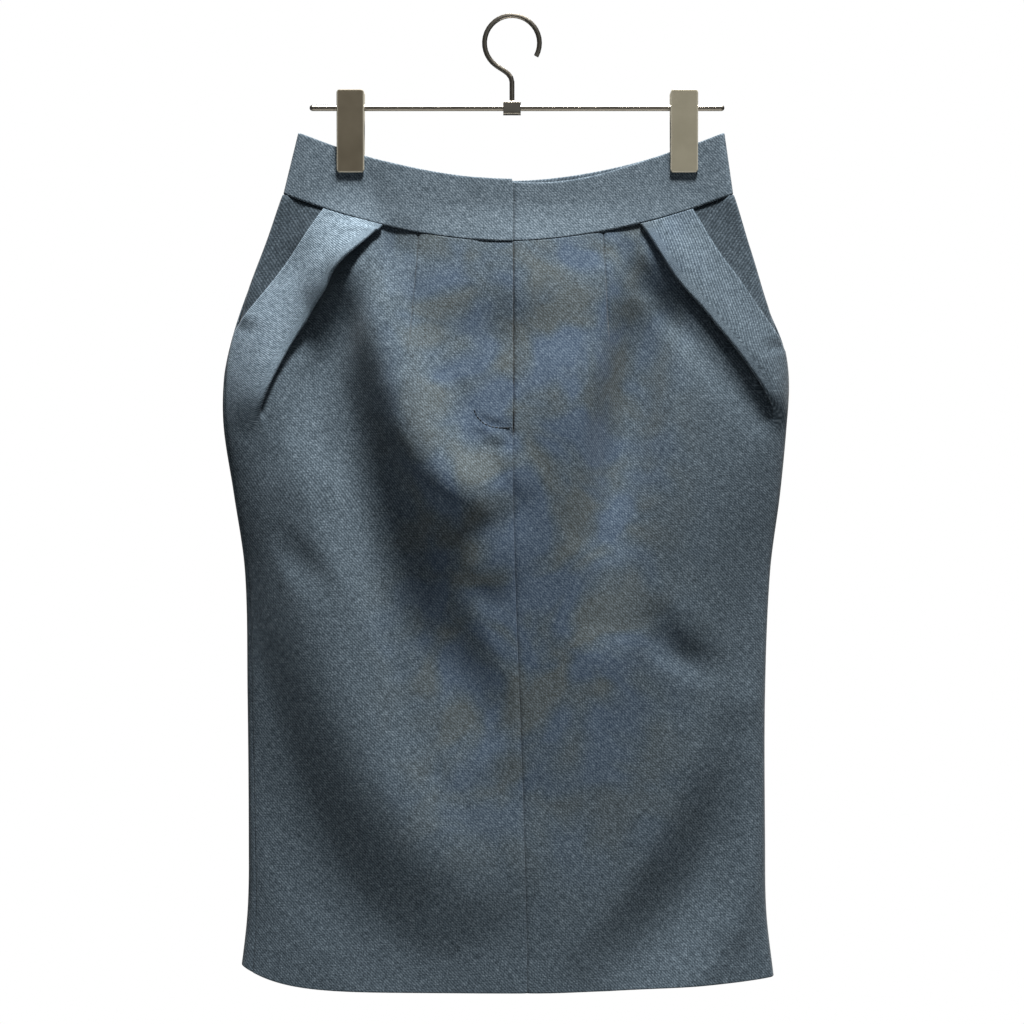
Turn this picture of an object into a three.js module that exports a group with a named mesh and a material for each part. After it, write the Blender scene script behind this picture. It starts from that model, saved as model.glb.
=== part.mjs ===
// A wool pencil skirt that hangs by its waistband from a clip hanger: panels with darts, a front fly,
// a slanted pocket with a deep turned pleat on each side, a back vent, and the bar, hook and clips.
// Millimetres. +X is to the right as seen from the front, +Y the back, +Z up.
// The origin is where the hook rests on a rail. A "drop" is the distance below the origin.
import * as THREE from "three";

const CLOTH = 1.2; // wall of the suiting
const BAND_CLOTH = 2.4; // the waistband, with its second layer and interfacing
const SEAM_GAP = 0.3;
const LAYER = 1.5; // from one layer of suiting to the next, pressed flat
const BAND_LAYER = 2.7; // the same in the waistband

// The waist curves: drop at the centre, how much higher the sides are, and where the sides are.
const WAIST_TOP = { drop: 129.6, rise: 37.4, left: -170, right: 169 };
const WAIST_SEAM = { drop: 180, rise: 38.6, left: -182, right: 176 };
const WAIST_BEND = 1.8; // exponent of the waist curve
const WAIST_SLUMP = { depth: 4.5, x: 46, reach: 85 }; // the right front's top edge sags here
const HEM = { front: 776, back: 763, left: 757, right: 766 }; // drops
const HEM_BEND = { left: 7, right: 2.5 }; // the hem turns up in its left corner, and slowly at the right

// The outline seen from the front.
const OUTLINE = [
  { drop: 142, left: -182, right: 176 },
  { drop: 186, left: -199, right: 191 },
  { drop: 232, left: -216, right: 205 },
  { drop: 262, left: -225, right: 217 },
  { drop: 290, left: -230, right: 221 },
  { drop: 328, left: -230, right: 219 },
  { drop: 380, left: -222, right: 214 },
  { drop: 443, left: -213, right: 206 },
  { drop: 540, left: -211, right: 202 },
  { drop: 660, left: -210, right: 202 },
  { drop: 715, left: -211, right: 203 },
  { drop: 768, left: -217, right: 209 },
];
// Half depths at the middle of the front and the back.
const DEPTH = [
  { drop: 90, front: 6, back: 5 },
  { drop: 130, front: 7, back: 6 },
  { drop: 180, front: 10, back: 9 },
  { drop: 230, front: 21, back: 18 },
  { drop: 290, front: 34, back: 28 },
  { drop: 360, front: 41, back: 34 },
  { drop: 440, front: 41, back: 35 },
  { drop: 560, front: 36, back: 33 },
  { drop: 700, front: 31, back: 30 },
  { drop: 780, front: 30, back: 29 },
];
// Soft drape folds: a curve from, by and to a place, its reach to each side, and its height.
const FRONT_FOLDS = [
  { name: "left_swag_crest", from: [-116, 184], by: [-88, 300], to: [-26, 404], reach: 46, height: 11 },
  { name: "left_swag_trough", from: [-140, 212], by: [-126, 330], to: [-40, 524], reach: 50, height: -11 },
  { name: "left_thigh_crest", from: [-196, 390], by: [-150, 570], to: [-40, 660], reach: 66, height: 12 },
  { name: "left_hem_trough", from: [-200, 520], by: [-164, 690], to: [-56, 752], reach: 52, height: -10 },
  { name: "left_pocket_trough", from: [-98, 170], by: [-146, 240], to: [-188, 325], reach: 24, height: -4 },
  { name: "left_waist_crest", from: [-112, 176], by: [-102, 220], to: [-86, 280], reach: 26, height: 4 },
  { name: "left_shade_trough", from: [-126, 198], by: [-130, 250], to: [-112, 316], reach: 28, height: -4 },
  { name: "left_hip_dent", from: [-176, 410], by: [-160, 428], to: [-146, 446], reach: 16, height: -2.5 },
  { name: "fly_crest", from: [-64, 306], by: [-44, 352], to: [4, 350], reach: 28, height: 6 },
  { name: "fly_trough", from: [-8, 372], by: [-14, 410], to: [-6, 480], reach: 30, height: -3 },
  { name: "right_pocket_trough", from: [100, 172], by: [142, 236], to: [202, 318], reach: 24, height: -7 },
  { name: "right_swag_trough", from: [100, 205], by: [70, 320], to: [52, 450], reach: 50, height: -8 },
  { name: "right_swag_crest", from: [150, 300], by: [122, 450], to: [50, 560], reach: 62, height: 7 },
  { name: "right_pull_crest", from: [110, 452], by: [136, 474], to: [168, 492], reach: 16, height: 2.5 },
  { name: "right_pull_trough", from: [112, 470], by: [136, 494], to: [168, 512], reach: 16, height: -2.8 },
  { name: "right_hem_trough", from: [182, 580], by: [150, 690], to: [70, 748], reach: 50, height: -8 },
  { name: "right_hip_crest", from: [196, 400], by: [184, 470], to: [150, 560], reach: 44, height: 5 },
  { name: "right_thigh_crest", from: [200, 560], by: [196, 640], to: [170, 700], reach: 38, height: 6 },
];
const BACK_FOLDS = [
  { name: "back_left_swag", from: [-150, 230], by: [-120, 400], to: [-30, 520], reach: 54, height: 6 },
  { name: "back_left_trough", from: [-190, 330], by: [-150, 500], to: [-50, 610], reach: 50, height: -6 },
  { name: "back_right_swag", from: [146, 240], by: [110, 380], to: [40, 470], reach: 50, height: 5 },
  { name: "back_right_trough", from: [180, 350], by: [150, 520], to: [60, 620], reach: 52, height: -6 },
  { name: "back_right_hem", from: [170, 560], by: [140, 680], to: [80, 740], reach: 44, height: 4 },
];

// The fly: the left front lies over the right one.
const FLY = {
  x: 0.8,
  hemX: 12, // the seam below the fly runs to here at the hem
  end: 330, // drop
  overlap: 22,
  overGone: 8, // the upper layer has come down this far below its end
  underStarts: 45, // the lower layer narrows from here above its end,
  underGone: 12, // to here
};
const DARTS = {
  front_left: { topX: -75, endX: -82, end: 278, depth: 0.9 },
  front_right: { topX: 73, endX: 78, end: 270, depth: 0.9 },
  back_left: { topX: -80, endX: -84, end: 290, depth: 0.9 },
  back_right: { topX: 78, endX: 82, end: 290, depth: 0.9 },
};
const DART_WIDTH = 2.2; // to each side of its line
const DART_FADE = 40; // it gets shallow over this height
const SEAM_DIP = { depth: 0.5, reach: 4 };
const VENT = {
  top: 600, // drop
  overlap: 34,
  starts: 30, // the upper layer begins to rise here above the vent
  under: 6, // the lower layer widens from here below its top,
  wide: 34, // to here
};

// Each pocket: the open mouth's edge, and the edge of the pleat that is turned towards the middle.
const POCKETS = {
  left: {
    mouth: [
      { drop: 150, x: -149 },
      { drop: 195, x: -179 },
      { drop: 251, x: -221.5 },
    ],
    fold: [
      { drop: 160, x: -98 },
      { drop: 196, x: -130 },
      { drop: 228, x: -152 },
      { drop: 262, x: -176 },
      { drop: 295, x: -192 },
      { drop: 334, x: -205 },
    ],
  },
  right: {
    mouth: [
      { drop: 150, x: 143 },
      { drop: 188, x: 165 },
      { drop: 210, x: 181 },
      { drop: 266, x: 218 },
    ],
    fold: [
      { drop: 162, x: 100 },
      { drop: 204, x: 128 },
      { drop: 242, x: 157 },
      { drop: 278, x: 185 },
      { drop: 310, x: 205 },
      { drop: 334, x: 209 },
    ],
  },
};
const PLEAT = {
  depth: 27, // how far the cloth goes back under the fold at the waist,
  endDepth: 8, // and where the fold ends
  settled: 50, // below the waist, where the layers have their open spacing
  bandRise: 0.85, // share of the band's width over which it climbs
  opens: 282, // drop where it starts to open out
  ends: 336, // drop where it has gone
  openLayer: 2.2, // from layer to layer away from the waist seam
  flatStep: 1.5, // spacing of its columns where it has gone
};
// How far each turned edge stands up off the layers below it.
const LIFT = [
  { drop: 160, left: 0.5, right: 0.5 },
  { drop: 200, left: 8, right: 3 },
  { drop: 236, left: 5, right: 5 },
  { drop: 270, left: 2.4, right: 5.5 },
  { drop: 300, left: 1.2, right: 4 },
  { drop: 336, left: 0.4, right: 1 },
];
// How far the pleat's layers are pressed inwards at the waist seam, from and to which shares of the
// half width, and down to which share of the height.
const TUCK = { depth: 2.2, from: 0.3, to: 0.55, height: 0.07 };
const MOUTH = { level: 3.2, closes: 13 }; // how far its edge stands off, but not at its lower end
// The hip piece goes this far under the mouth's edge, past the mouth's lower end, and there inwards.
const YOKE = { under: 8, past: 7, inwards: 2, sinks: 34, sunk: 10, narrows: 12, rows: 8 };
// How far inside the outline the side seams lie on the front. The left one is turned forwards.
const SIDE_WRAP = [
  { drop: 142, left: 0, right: 0 },
  { drop: 262, left: 0.4, right: 0 },
  { drop: 310, left: 2.8, right: 0.1 },
  { drop: 380, left: 3.2, right: 0.2 },
  { drop: 560, left: 4.5, right: 0.4 },
  { drop: 690, left: 6.4, right: 0.6 },
  { drop: 768, left: 9.6, right: 0.8 },
];
const SIDE_RADIUS = 2.2; // of the cloth's bend at its sides, at least
const SIDE_CALM = 0.42; // folds begin only where the section's sine reaches this

// The hanger.
const BAR = { drop: 72, radius: 2.5, left: -162, right: 170 };
const HOOK = {
  inner: 20,
  wire: 2,
  tip: -0.5, // angles, in radians: its end,
  leaves: 1.25 * Math.PI, // and where it bends to the stem
  stemTop: 52,
  pull: 9, // how far each end of that bend keeps its direction
};
const COLLAR = { width: 14, height: 11, corner: 2, bore: 2.8 };
const CLIPS = [
  { name: "left", x: -129 },
  { name: "right", x: 137.5 },
];
const PLATE = { width: 22, height: 66, thick: 2, corner: 2.5, bevel: 0.5, bottom: 124, lean: 0.05 };
const SADDLE = { width: 15, depth: 10.6, height: 12 };
// The clips pinch the waistband, front to back.
const PINCH = { half: 1.35, flat: 13, reach: 38, from: 127, gone: 200 };

// Rows of the panels, as parts of their height. One is at the lower end of each pocket's mouth.
const POCKET_ROWS = [0, 0.022, 0.046, 0.072, 0.099, 0.126, 0.152, 0.178, 0.1995, 0.226, 0.253, 0.283];
const LOWER_FROM = 0.316;
const LOWER_ROWS = 14;
// The columns of a front panel. Below the pleat they spread out, to these shares of its width.
const FRONT = {
  band: 6,
  toDart: 5,
  toFlap: 3,
  toFly: 4,
  spreadOver: 160, // drop
  foldShare: 0.3,
  stepShare: 0.022,
  dartShare: 0.66,
  dartFromFold: 14,
  dartFromFly: 30,
};
// The columns of a back panel, and the shares of its height over which those of the dart move.
const BACK = { toDart: 8, toFlap: 2, toMiddle: 4, dartShare: 0.6, from: 0.25, to: 0.5 };
const TURN_POINTS = 5; // on each half circle of the pleat
const EDGE = SEAM_GAP / 2;
// Past the layer under it, a flap keeps its height for the margin, and has come down by the fall.
const FLAP_MARGIN = 3;
const FLAP_FALL = 20;

const suiting = new THREE.MeshStandardMaterial({ color: "#4d5a64", roughness: 0.9, metalness: 0 });
const clipMetal = new THREE.MeshStandardMaterial({ color: "#7a7263", roughness: 0.45, metalness: 0.6 });
const wireMetal = new THREE.MeshStandardMaterial({ color: "#8a8272", roughness: 0.35, metalness: 0.8 });

const skirt = new THREE.Group();

// Helpers for numbers.
const lerp = THREE.MathUtils.lerp;
const smooth = (x, low, high) => THREE.MathUtils.smoothstep(x, low, high);
const clamp = THREE.MathUtils.clamp;

// The value of a column at a drop, on a smooth curve through a table's rows.
function read(rows, column, drop) {
  const last = rows.length - 1;
  if (drop <= rows[0].drop) return rows[0][column];
  if (drop >= rows[last].drop) return rows[last][column];
  const i = rows.findIndex((row) => row.drop > drop) - 1;
  const slope = (k) => {
    const a = rows[Math.max(k - 1, 0)];
    const b = rows[Math.min(k + 1, last)];
    return (b[column] - a[column]) / (b.drop - a.drop);
  };
  const span = rows[i + 1].drop - rows[i].drop;
  const t = (drop - rows[i].drop) / span;
  const passed = 3 * t ** 2 - 2 * t ** 3;
  const value = lerp(rows[i][column], rows[i + 1][column], passed);
  return value + span * ((t ** 3 - 2 * t ** 2 + t) * slope(i) + (t ** 3 - t ** 2) * slope(i + 1));
}

// The same past the last row, in a straight line.
function readOn(rows, column, drop) {
  const [a, b] = rows.slice(-2);
  if (drop <= b.drop) return read(rows, column, drop);
  return b[column] + ((b[column] - a[column]) / (b.drop - a.drop)) * (drop - b.drop);
}

// Each fold's curve as a chain of points.
const FOLD_STEPS = 14;
const FOLD_ENDS = 0.35; // share of its height that is left at both ends
function chainOf(fold) {
  const chain = [];
  for (let k = 0; k <= FOLD_STEPS; k++) {
    const t = k / FOLD_STEPS;
    const place = (n) => (1 - t) ** 2 * fold.from[n] + 2 * t * (1 - t) * fold.by[n] + t ** 2 * fold.to[n];
    chain.push(new THREE.Vector2(place(0), place(1)));
  }
  return { ...fold, chain };
}
const frontChains = FRONT_FOLDS.map(chainOf);
const backChains = BACK_FOLDS.map(chainOf);

// The sum of the drape folds at a place on the front or the back.
function foldHeight(folds, x, drop) {
  const place = new THREE.Vector2(x, drop);
  let sum = 0;
  for (const { chain, reach, height } of folds) {
    let nearest = Infinity;
    let along = 0;
    for (let k = 0; k < FOLD_STEPS; k++) {
      const step = chain[k + 1].clone().sub(chain[k]);
      const share = clamp(place.clone().sub(chain[k]).dot(step) / step.lengthSq(), 0, 1);
      const far = place.distanceTo(chain[k].clone().addScaledVector(step, share));
      if (far < nearest) {
        nearest = far;
        along = (k + share) / FOLD_STEPS;
      }
    }
    const share = clamp(nearest / reach, 0, 1);
    sum += height * (1 - share ** 2) ** 2 * lerp(FOLD_ENDS, 1, Math.sin(Math.PI * along));
  }
  return sum;
}

// How far a clip presses front and back together, from 0 to 1.
function pinch(x, drop) {
  const near = Math.min(...CLIPS.map((clip) => Math.abs(x - clip.x)));
  return (1 - smooth(near, PINCH.flat, PINCH.reach)) * (1 - smooth(drop, PINCH.from, PINCH.gone));
}

// A point of the cloth's middle surface. The turn is 0 at the left side, half a circle on at the right.
function surfacePoint(turn, leftX, rightX, drop, tuck) {
  const across = -Math.cos(turn);
  const x = lerp(leftX, rightX, (across + 1) / 2);
  const out = Math.sin(turn);
  const isFront = out >= 0;
  const inside = smooth(Math.abs(out), 0, SIDE_CALM);
  const inset = Math.min(((1 - Math.abs(across)) * (rightX - leftX)) / 2, SIDE_RADIUS);
  const bend = Math.sqrt(inset * (2 * SIDE_RADIUS - inset));
  const full = bend + (read(DEPTH, isFront ? "front" : "back", drop) - SIDE_RADIUS) * Math.abs(out);
  const folded = foldHeight(isFront ? frontChains : backChains, x, drop) * inside;
  const tucked = isFront ? tuck * inside : 0;
  const depth = lerp(full, Math.min(PINCH.half, full), pinch(x, drop)) + folded - tucked;
  return new THREE.Vector3(x, isFront ? -depth : depth, -drop);
}

// The drop of a curve that hangs lower in the middle than at its sides.
function sag(turn, centre, left, right, bendLeft, bendRight) {
  const across = -Math.cos(turn);
  const [side, bend] = across < 0 ? [left, bendLeft] : [right, bendRight];
  return lerp(centre, side, Math.abs(across) ** bend);
}

// The skirt below the waistband. v is 0 at the waist seam and 1 at the hem.
function skirtPoint(turn, v) {
  const isFront = Math.sin(turn) >= 0;
  const side = WAIST_SEAM.drop - WAIST_SEAM.rise;
  const left = lerp(side, HEM.left, v);
  const right = lerp(side, HEM.right, v);
  const centre = lerp(WAIST_SEAM.drop, isFront ? HEM.front : HEM.back, v);
  const bendLeft = lerp(WAIST_BEND, HEM_BEND.left, v * v);
  const bendRight = lerp(WAIST_BEND, HEM_BEND.right, v);
  const drop = sag(turn, centre, left, right, bendLeft, bendRight);
  const isTucked = smooth(Math.abs(Math.cos(turn)), TUCK.from, TUCK.to);
  const tuck = TUCK.depth * isTucked * (1 - smooth(v, 0, TUCK.height));
  return surfacePoint(turn, read(OUTLINE, "left", left), read(OUTLINE, "right", right), drop, tuck);
}

// The waistband. v is 0 at its seam and 1 at its top.
function bandPoint(turn, v) {
  const isFront = Math.sin(turn) >= 0;
  const waist = ({ drop, rise }) => sag(turn, drop, drop - rise, drop - rise, WAIST_BEND, WAIST_BEND);
  const seam = waist(WAIST_SEAM);
  const top = waist(WAIST_TOP);
  const leftX = lerp(WAIST_SEAM.left, WAIST_TOP.left, v);
  const rightX = lerp(WAIST_SEAM.right, WAIST_TOP.right, v);
  const x = lerp(leftX, rightX, (1 - Math.cos(turn)) / 2);
  const slumped = clamp(Math.abs(x - WAIST_SLUMP.x) / WAIST_SLUMP.reach, 0, 1);
  const slump = isFront && x > 0 ? WAIST_SLUMP.depth * (1 - slumped ** 2) ** 2 : 0;
  return surfacePoint(turn, leftX, rightX, lerp(seam, top + slump, v), 0);
}

// The outward direction of a surface, over a small stretch of it, so that small bends don't turn it.
const STRETCH = 0.03; // to each side
function outward(point, turn, v) {
  const above = clamp(v - STRETCH, 0, 1 - 2 * STRETCH);
  const round = point(turn + STRETCH, v).sub(point(turn - STRETCH, v));
  const down = point(turn, above + 2 * STRETCH).sub(point(turn, above));
  return down.cross(round).normalize();
}
const outOfSkirt = (turn, v) => outward(skirtPoint, turn, v);
// The waistband's v runs up, so its direction is turned round.
const outOfBand = (turn, v) => outward(bandPoint, turn, v).negate();

// One ring of a surface: arc length from the middle of the back, against the turn.
const RING_STEPS = 520;
const RING_PAST = 1.7; // past the middle of the back, at both ends
function makeRing(point, v) {
  const start = -Math.PI / 2;
  const turns = [];
  const lengths = [0];
  for (let k = 0; k <= RING_STEPS; k++) {
    turns.push(start - RING_PAST + ((2 * Math.PI + 2 * RING_PAST) * k) / RING_STEPS);
    if (k) lengths.push(lengths[k - 1] + point(turns[k], v).distanceTo(point(turns[k - 1], v)));
  }
  const between = (from, to, value) => {
    let k = from.findIndex((x) => x >= value);
    k = k < 1 ? (k < 0 ? from.length - 1 : 1) : k;
    return lerp(to[k - 1], to[k], (value - from[k - 1]) / (from[k] - from[k - 1]));
  };
  const zero = between(turns, lengths, start);
  return {
    v,
    lengthAt: (turn) => between(turns, lengths, turn) - zero,
    turnAt: (length) => between(lengths, turns, length + zero),
  };
}

// The arc length, on the front or the back, where a ring crosses a line whose x is known at each drop.
const CROSSING_STEPS = 8;
function crossing(ring, point, lineX, front = true) {
  let turn = front ? Math.PI / 2 : 1.5 * Math.PI;
  const leftX = point(0, ring.v).x;
  const rightX = point(Math.PI, ring.v).x;
  for (let k = 0; k < CROSSING_STEPS; k++) {
    const x = lineX(-point(turn, ring.v).z);
    const flat = Math.acos(clamp(1 - (2 * (x - leftX)) / (rightX - leftX), -1, 1));
    turn = front ? flat : x < (leftX + rightX) / 2 ? -flat : 2 * Math.PI - flat;
  }
  return ring.lengthAt(turn);
}

// A wall of cloth round a grid of middle points: both faces and the four edges, closed.
// Its side edges are cut square to the surface it lies on, and its first row's edge is cut level.
function wall(grid, outs, thickness) {
  const rows = grid.length;
  const columns = grid[0].length;
  const at = (i, j) => grid[clamp(i, 0, rows - 1)][clamp(j, 0, columns - 1)];
  const square = (i, j) => {
    const down = at(i + 1, j).clone().sub(at(i - 1, j));
    const along = at(i, j + 1).clone().sub(at(i, j - 1));
    return down.cross(along);
  };
  const faces = [[], []];
  for (let i = 0; i < rows; i++) {
    const sign = Math.sign(square(i, 1).dot(outs[i][1]));
    for (let j = 0; j < columns; j++) {
      const inside = j > 0 && j < columns - 1;
      const across = inside ? square(i, j) : outs[i][j].clone().multiplyScalar(sign);
      if (i === 0) across.setZ(0);
      const half = across.setLength(thickness / 2);
      faces[0].push(at(i, j).clone().add(half));
      faces[1].push(at(i, j).clone().sub(half));
    }
  }
  const positions = faces.flat().flatMap((p) => [p.x, p.y, p.z]);
  const id = (face, i, j) => face * rows * columns + i * columns + j;
  const index = [];
  const quad = (a, b, c, d) => index.push(a, b, c, a, c, d);
  const last = columns - 1;
  for (let i = 0; i + 1 < rows; i++) {
    for (let j = 0; j + 1 < columns; j++) {
      quad(id(0, i, j), id(0, i + 1, j), id(0, i + 1, j + 1), id(0, i, j + 1));
      quad(id(1, i, j), id(1, i, j + 1), id(1, i + 1, j + 1), id(1, i + 1, j));
    }
    quad(id(0, i, 0), id(1, i, 0), id(1, i + 1, 0), id(0, i + 1, 0));
    quad(id(0, i, last), id(0, i + 1, last), id(1, i + 1, last), id(1, i, last));
  }
  for (let j = 0; j + 1 < columns; j++) {
    quad(id(0, 0, j), id(0, 0, j + 1), id(1, 0, j + 1), id(1, 0, j));
    quad(id(0, rows - 1, j), id(1, rows - 1, j), id(1, rows - 1, j + 1), id(0, rows - 1, j + 1));
  }
  const geometry = new THREE.BufferGeometry();
  geometry.setAttribute("position", new THREE.Float32BufferAttribute(positions, 3));
  geometry.setIndex(facesOut(positions, index));
  geometry.computeVertexNormals();
  return geometry;
}

// The triangles, each turned round if they face inwards.
function facesOut(positions, index) {
  let volume = 0;
  const corner = (k) => new THREE.Vector3().fromArray(positions, 3 * index[k]);
  for (let k = 0; k < index.length; k += 3) volume += corner(k).dot(corner(k + 1).cross(corner(k + 2)));
  if (volume >= 0) return index;
  const turned = [];
  for (let k = 0; k < index.length; k += 3) turned.push(index[k], index[k + 2], index[k + 1]);
  return turned;
}

function addPiece(name, geometry, material) {
  const mesh = new THREE.Mesh(geometry, material);
  mesh.name = name;
  skirt.add(mesh);
  return mesh;
}

// A panel: each ring's columns give arc length and height above the middle surface.
function addPanel(name, rings, point, out, columnsOf, thickness) {
  const grid = [];
  const outs = [];
  for (const ring of rings) {
    const columns = columnsOf(ring).map(({ s, h }) => ({ turn: ring.turnAt(s), h }));
    const directions = columns.map(({ turn }) => out(turn, ring.v));
    if (!grid.length) directions.forEach((direction) => direction.setZ(0).normalize());
    outs.push(directions);
    grid.push(columns.map(({ turn, h }, k) => point(turn, ring.v).addScaledVector(directions[k], h)));
  }
  addPiece(name, wall(grid, outs, thickness), suiting);
}

// Columns from one length to another, evenly spaced unless they crowd at the start.
// Their height is a function of their length and their share of the way.
const CROWD = 2; // exponent for columns that crowd where the cloth bends round a side
const YOKE_CROWD = 1.5;
const YOKE_COLUMNS = 5;
function spread(from, to, count, height = () => 0, crowd = 1) {
  const list = [];
  for (let k = 0; k <= count; k++) {
    const s = lerp(from, to, (k / count) ** crowd);
    list.push({ s, h: height(s, k / count) });
  }
  return list;
}

const seamInset = EDGE / (HEM.front - WAIST_SEAM.drop);
const rowShares = [...POCKET_ROWS];
for (let k = 0; k <= LOWER_ROWS; k++) rowShares.push(lerp(LOWER_FROM, 1, k / LOWER_ROWS));
const skirtRings = rowShares.map((v) => makeRing(skirtPoint, lerp(seamInset, 1, v)));

const flyX = (drop) => lerp(FLY.x, FLY.hemX, smooth(drop, FLY.end, HEM.front));
const dartX = (dart) => (drop) => {
  const share = (drop - WAIST_SEAM.drop) / (dart.end - WAIST_SEAM.drop);
  return lerp(dart.topX, dart.endX, share);
};
const dropAt = (ring, s) => -skirtPoint(ring.turnAt(s), ring.v).z;

// Where the side seam lies, and the sign that leads from it towards the middle of the front.
function sideOf(ring, side) {
  const isLeft = side === "left";
  const edge = ring.lengthAt(isLeft ? 0 : Math.PI);
  const toFront = isLeft ? 1 : -1;
  const drop = dropAt(ring, edge);
  const width = skirtPoint(Math.PI, ring.v).x - skirtPoint(0, ring.v).x;
  const turn = Math.acos(1 - (2 * Math.max(read(SIDE_WRAP, side, drop), 0)) / width);
  return { edge, toFront, seam: ring.lengthAt(isLeft ? turn : Math.PI - turn) };
}

// Three columns that sink into a dart, and flatten out below its end.
function dartColumns(dart, s, drop) {
  const deep = dart.depth * (1 - smooth(drop, dart.end - DART_FADE, dart.end));
  return [-1, 0, 1].map((n) => ({ s: s + n * DART_WIDTH, h: n ? 0 : -deep }));
}

// How far the cloth sinks at a distance from a seam down the middle.
const seamDip = (gap) => SEAM_DIP.depth * (1 - smooth(Math.abs(gap), 0, SEAM_DIP.reach));

// Where the outer edge of a front panel runs: the pocket's mouth, then the side seam.
function pocketLines(ring, side) {
  const { toFront, seam } = sideOf(ring, side);
  const pocket = POCKETS[side];
  const mouth = crossing(ring, skirtPoint, (d) => readOn(pocket.mouth, "x", d));
  const mouthDrop = dropAt(ring, mouth);
  const past = (mouth - seam) * toFront;
  const hasMouth = past > SEAM_GAP && mouthDrop < pocket.mouth.at(-1).drop;
  return { toFront, seam, start: hasMouth ? mouth : seam, hasMouth, mouthDrop };
}

// One front panel's columns, from its outer edge, over the turned pleat, to the middle.
// Distances count from the outer edge towards the middle.
function frontColumns(ring, side) {
  const { toFront, start, hasMouth, mouthDrop } = pocketLines(ring, side);
  const pocket = POCKETS[side];
  const middle = crossing(ring, skirtPoint, flyX);
  const foldLine = crossing(ring, skirtPoint, (d) => read(pocket.fold, "x", d));
  const foldDrop = dropAt(ring, foldLine);
  const foldTop = pocket.fold[0].drop;
  const foldEnd = pocket.fold.at(-1).drop;
  const below = smooth(foldDrop, foldEnd, foldEnd + FRONT.spreadOver);
  const far = Math.abs(middle - start);
  const fold = lerp(Math.abs(foldLine - start), far * FRONT.foldShare, below);

  const closed = 1 - smooth(foldDrop, PLEAT.opens, PLEAT.ends);
  const layer = lerp(LAYER, PLEAT.openLayer, smooth(foldDrop, foldTop, foldTop + PLEAT.settled));
  const lift = Math.max(read(LIFT, side, foldDrop), 0);
  const depth = lerp(PLEAT.depth, PLEAT.endDepth, smooth(foldDrop, foldTop, PLEAT.ends));
  const top = 2 * layer + lift;
  const turned = turnedPleat(fold, fold - depth, layer, top);
  const step = lerp(PLEAT.flatStep, FRONT.stepShare * far, below);
  const flatStart = fold - (turned.length / 3) * step;
  const pleat = turned.map(({ s, h }, k) => ({ s: lerp(flatStart + k * step, s, closed), h: h * closed }));

  const mouthEnd = pocket.mouth.at(-1).drop;
  const atMouth = 1 - smooth(mouthDrop, mouthEnd - MOUTH.closes, mouthEnd);
  const mouthLevel = hasMouth ? MOUTH.level * atMouth : 0;
  const bandHeight = (s, share) => lerp(mouthLevel, closed * top, smooth(share, 0, PLEAT.bandRise));
  const band = spread(EDGE, pleat[0].s, FRONT.band, bandHeight, lerp(CROWD, 1, closed)).slice(0, -1);

  const dart = DARTS[`front_${side}`];
  const dartLine = Math.abs(crossing(ring, skirtPoint, dartX(dart)) - start);
  const dartWanted = lerp(dartLine, far * FRONT.dartShare, below);
  const dartAt = clamp(dartWanted, pleat.at(-1).s + FRONT.dartFromFold, far - FRONT.dartFromFly);
  const darts = dartColumns(dart, dartAt, dropAt(ring, start + toFront * dartAt));

  const isOver = side === "left";
  const middleDrop = dropAt(ring, middle);
  const flyOn = 1 - smooth(middleDrop, FLY.end, FLY.end + FLY.overGone);
  const narrowed = smooth(middleDrop, FLY.end - FLY.underStarts, FLY.end - FLY.underGone);
  const under = isOver ? 0 : FLY.overlap * (1 - narrowed);
  const end = under > 0 ? far + under : far - EDGE;
  const middleHeight = (s) => {
    const come = smooth(far - s, FLY.overlap + FLAP_MARGIN, FLY.overlap + FLAP_FALL);
    const raised = isOver ? LAYER * flyOn * (1 - come) : 0;
    return raised - seamDip(far - s) * (1 - flyOn);
  };
  const toDart = spread(pleat.at(-1).s, darts[0].s, FRONT.toDart).slice(1, -1);
  const plain = far - FLY.overlap - FLAP_MARGIN;
  const toFlap = spread(darts.at(-1).s, plain, FRONT.toFlap, middleHeight).slice(1);
  const toFly = spread(plain, end, FRONT.toFly, middleHeight).slice(1);
  const columns = [...band, ...pleat, ...toDart, ...darts, ...toFlap, ...toFly];
  return columns.map(({ s, h }) => ({ s: start + toFront * s, h }));
}

// The pleat's section: round the turned edge, back under it, and round to the panel again.
function turnedPleat(fold, inner, layer, top) {
  const nose = (top - layer) / 2;
  const turn = layer / 2;
  const points = [];
  for (let k = 0; k < TURN_POINTS; k++) {
    const angle = Math.PI * (0.5 - k / (TURN_POINTS - 1));
    points.push({ s: fold - nose + nose * Math.cos(angle), h: layer + nose * (1 + Math.sin(angle)) });
  }
  for (let k = 0; k < TURN_POINTS; k++) {
    const angle = Math.PI * (0.5 + k / (TURN_POINTS - 1));
    points.push({ s: inner + turn + turn * Math.cos(angle), h: turn * (1 + Math.sin(angle)) });
  }
  return points;
}

// The hip piece that shows behind the pocket's mouth.
function yokeRings(side) {
  const top = WAIST_SEAM.drop - WAIST_SEAM.rise;
  const end = (POCKETS[side].mouth.at(-1).drop + YOKE.past - top) / (HEM[side] - top);
  const rings = [];
  for (let k = 0; k < YOKE.rows; k++) {
    rings.push(makeRing(skirtPoint, lerp(seamInset, end, k / (YOKE.rows - 1))));
  }
  return rings;
}

function yokeColumns(ring, side) {
  const { toFront, seam, start, mouthDrop } = pocketLines(ring, side);
  const end = POCKETS[side].mouth.at(-1).drop;
  const height = () => -YOKE.inwards * smooth(mouthDrop, end - YOKE.sinks, end - YOKE.sunk);
  const inset = EDGE + YOKE.inwards * smooth(mouthDrop, end - YOKE.narrows, end);
  return spread(seam + toFront * inset, start + toFront * YOKE.under, YOKE_COLUMNS, height, YOKE_CROWD);
}

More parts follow.
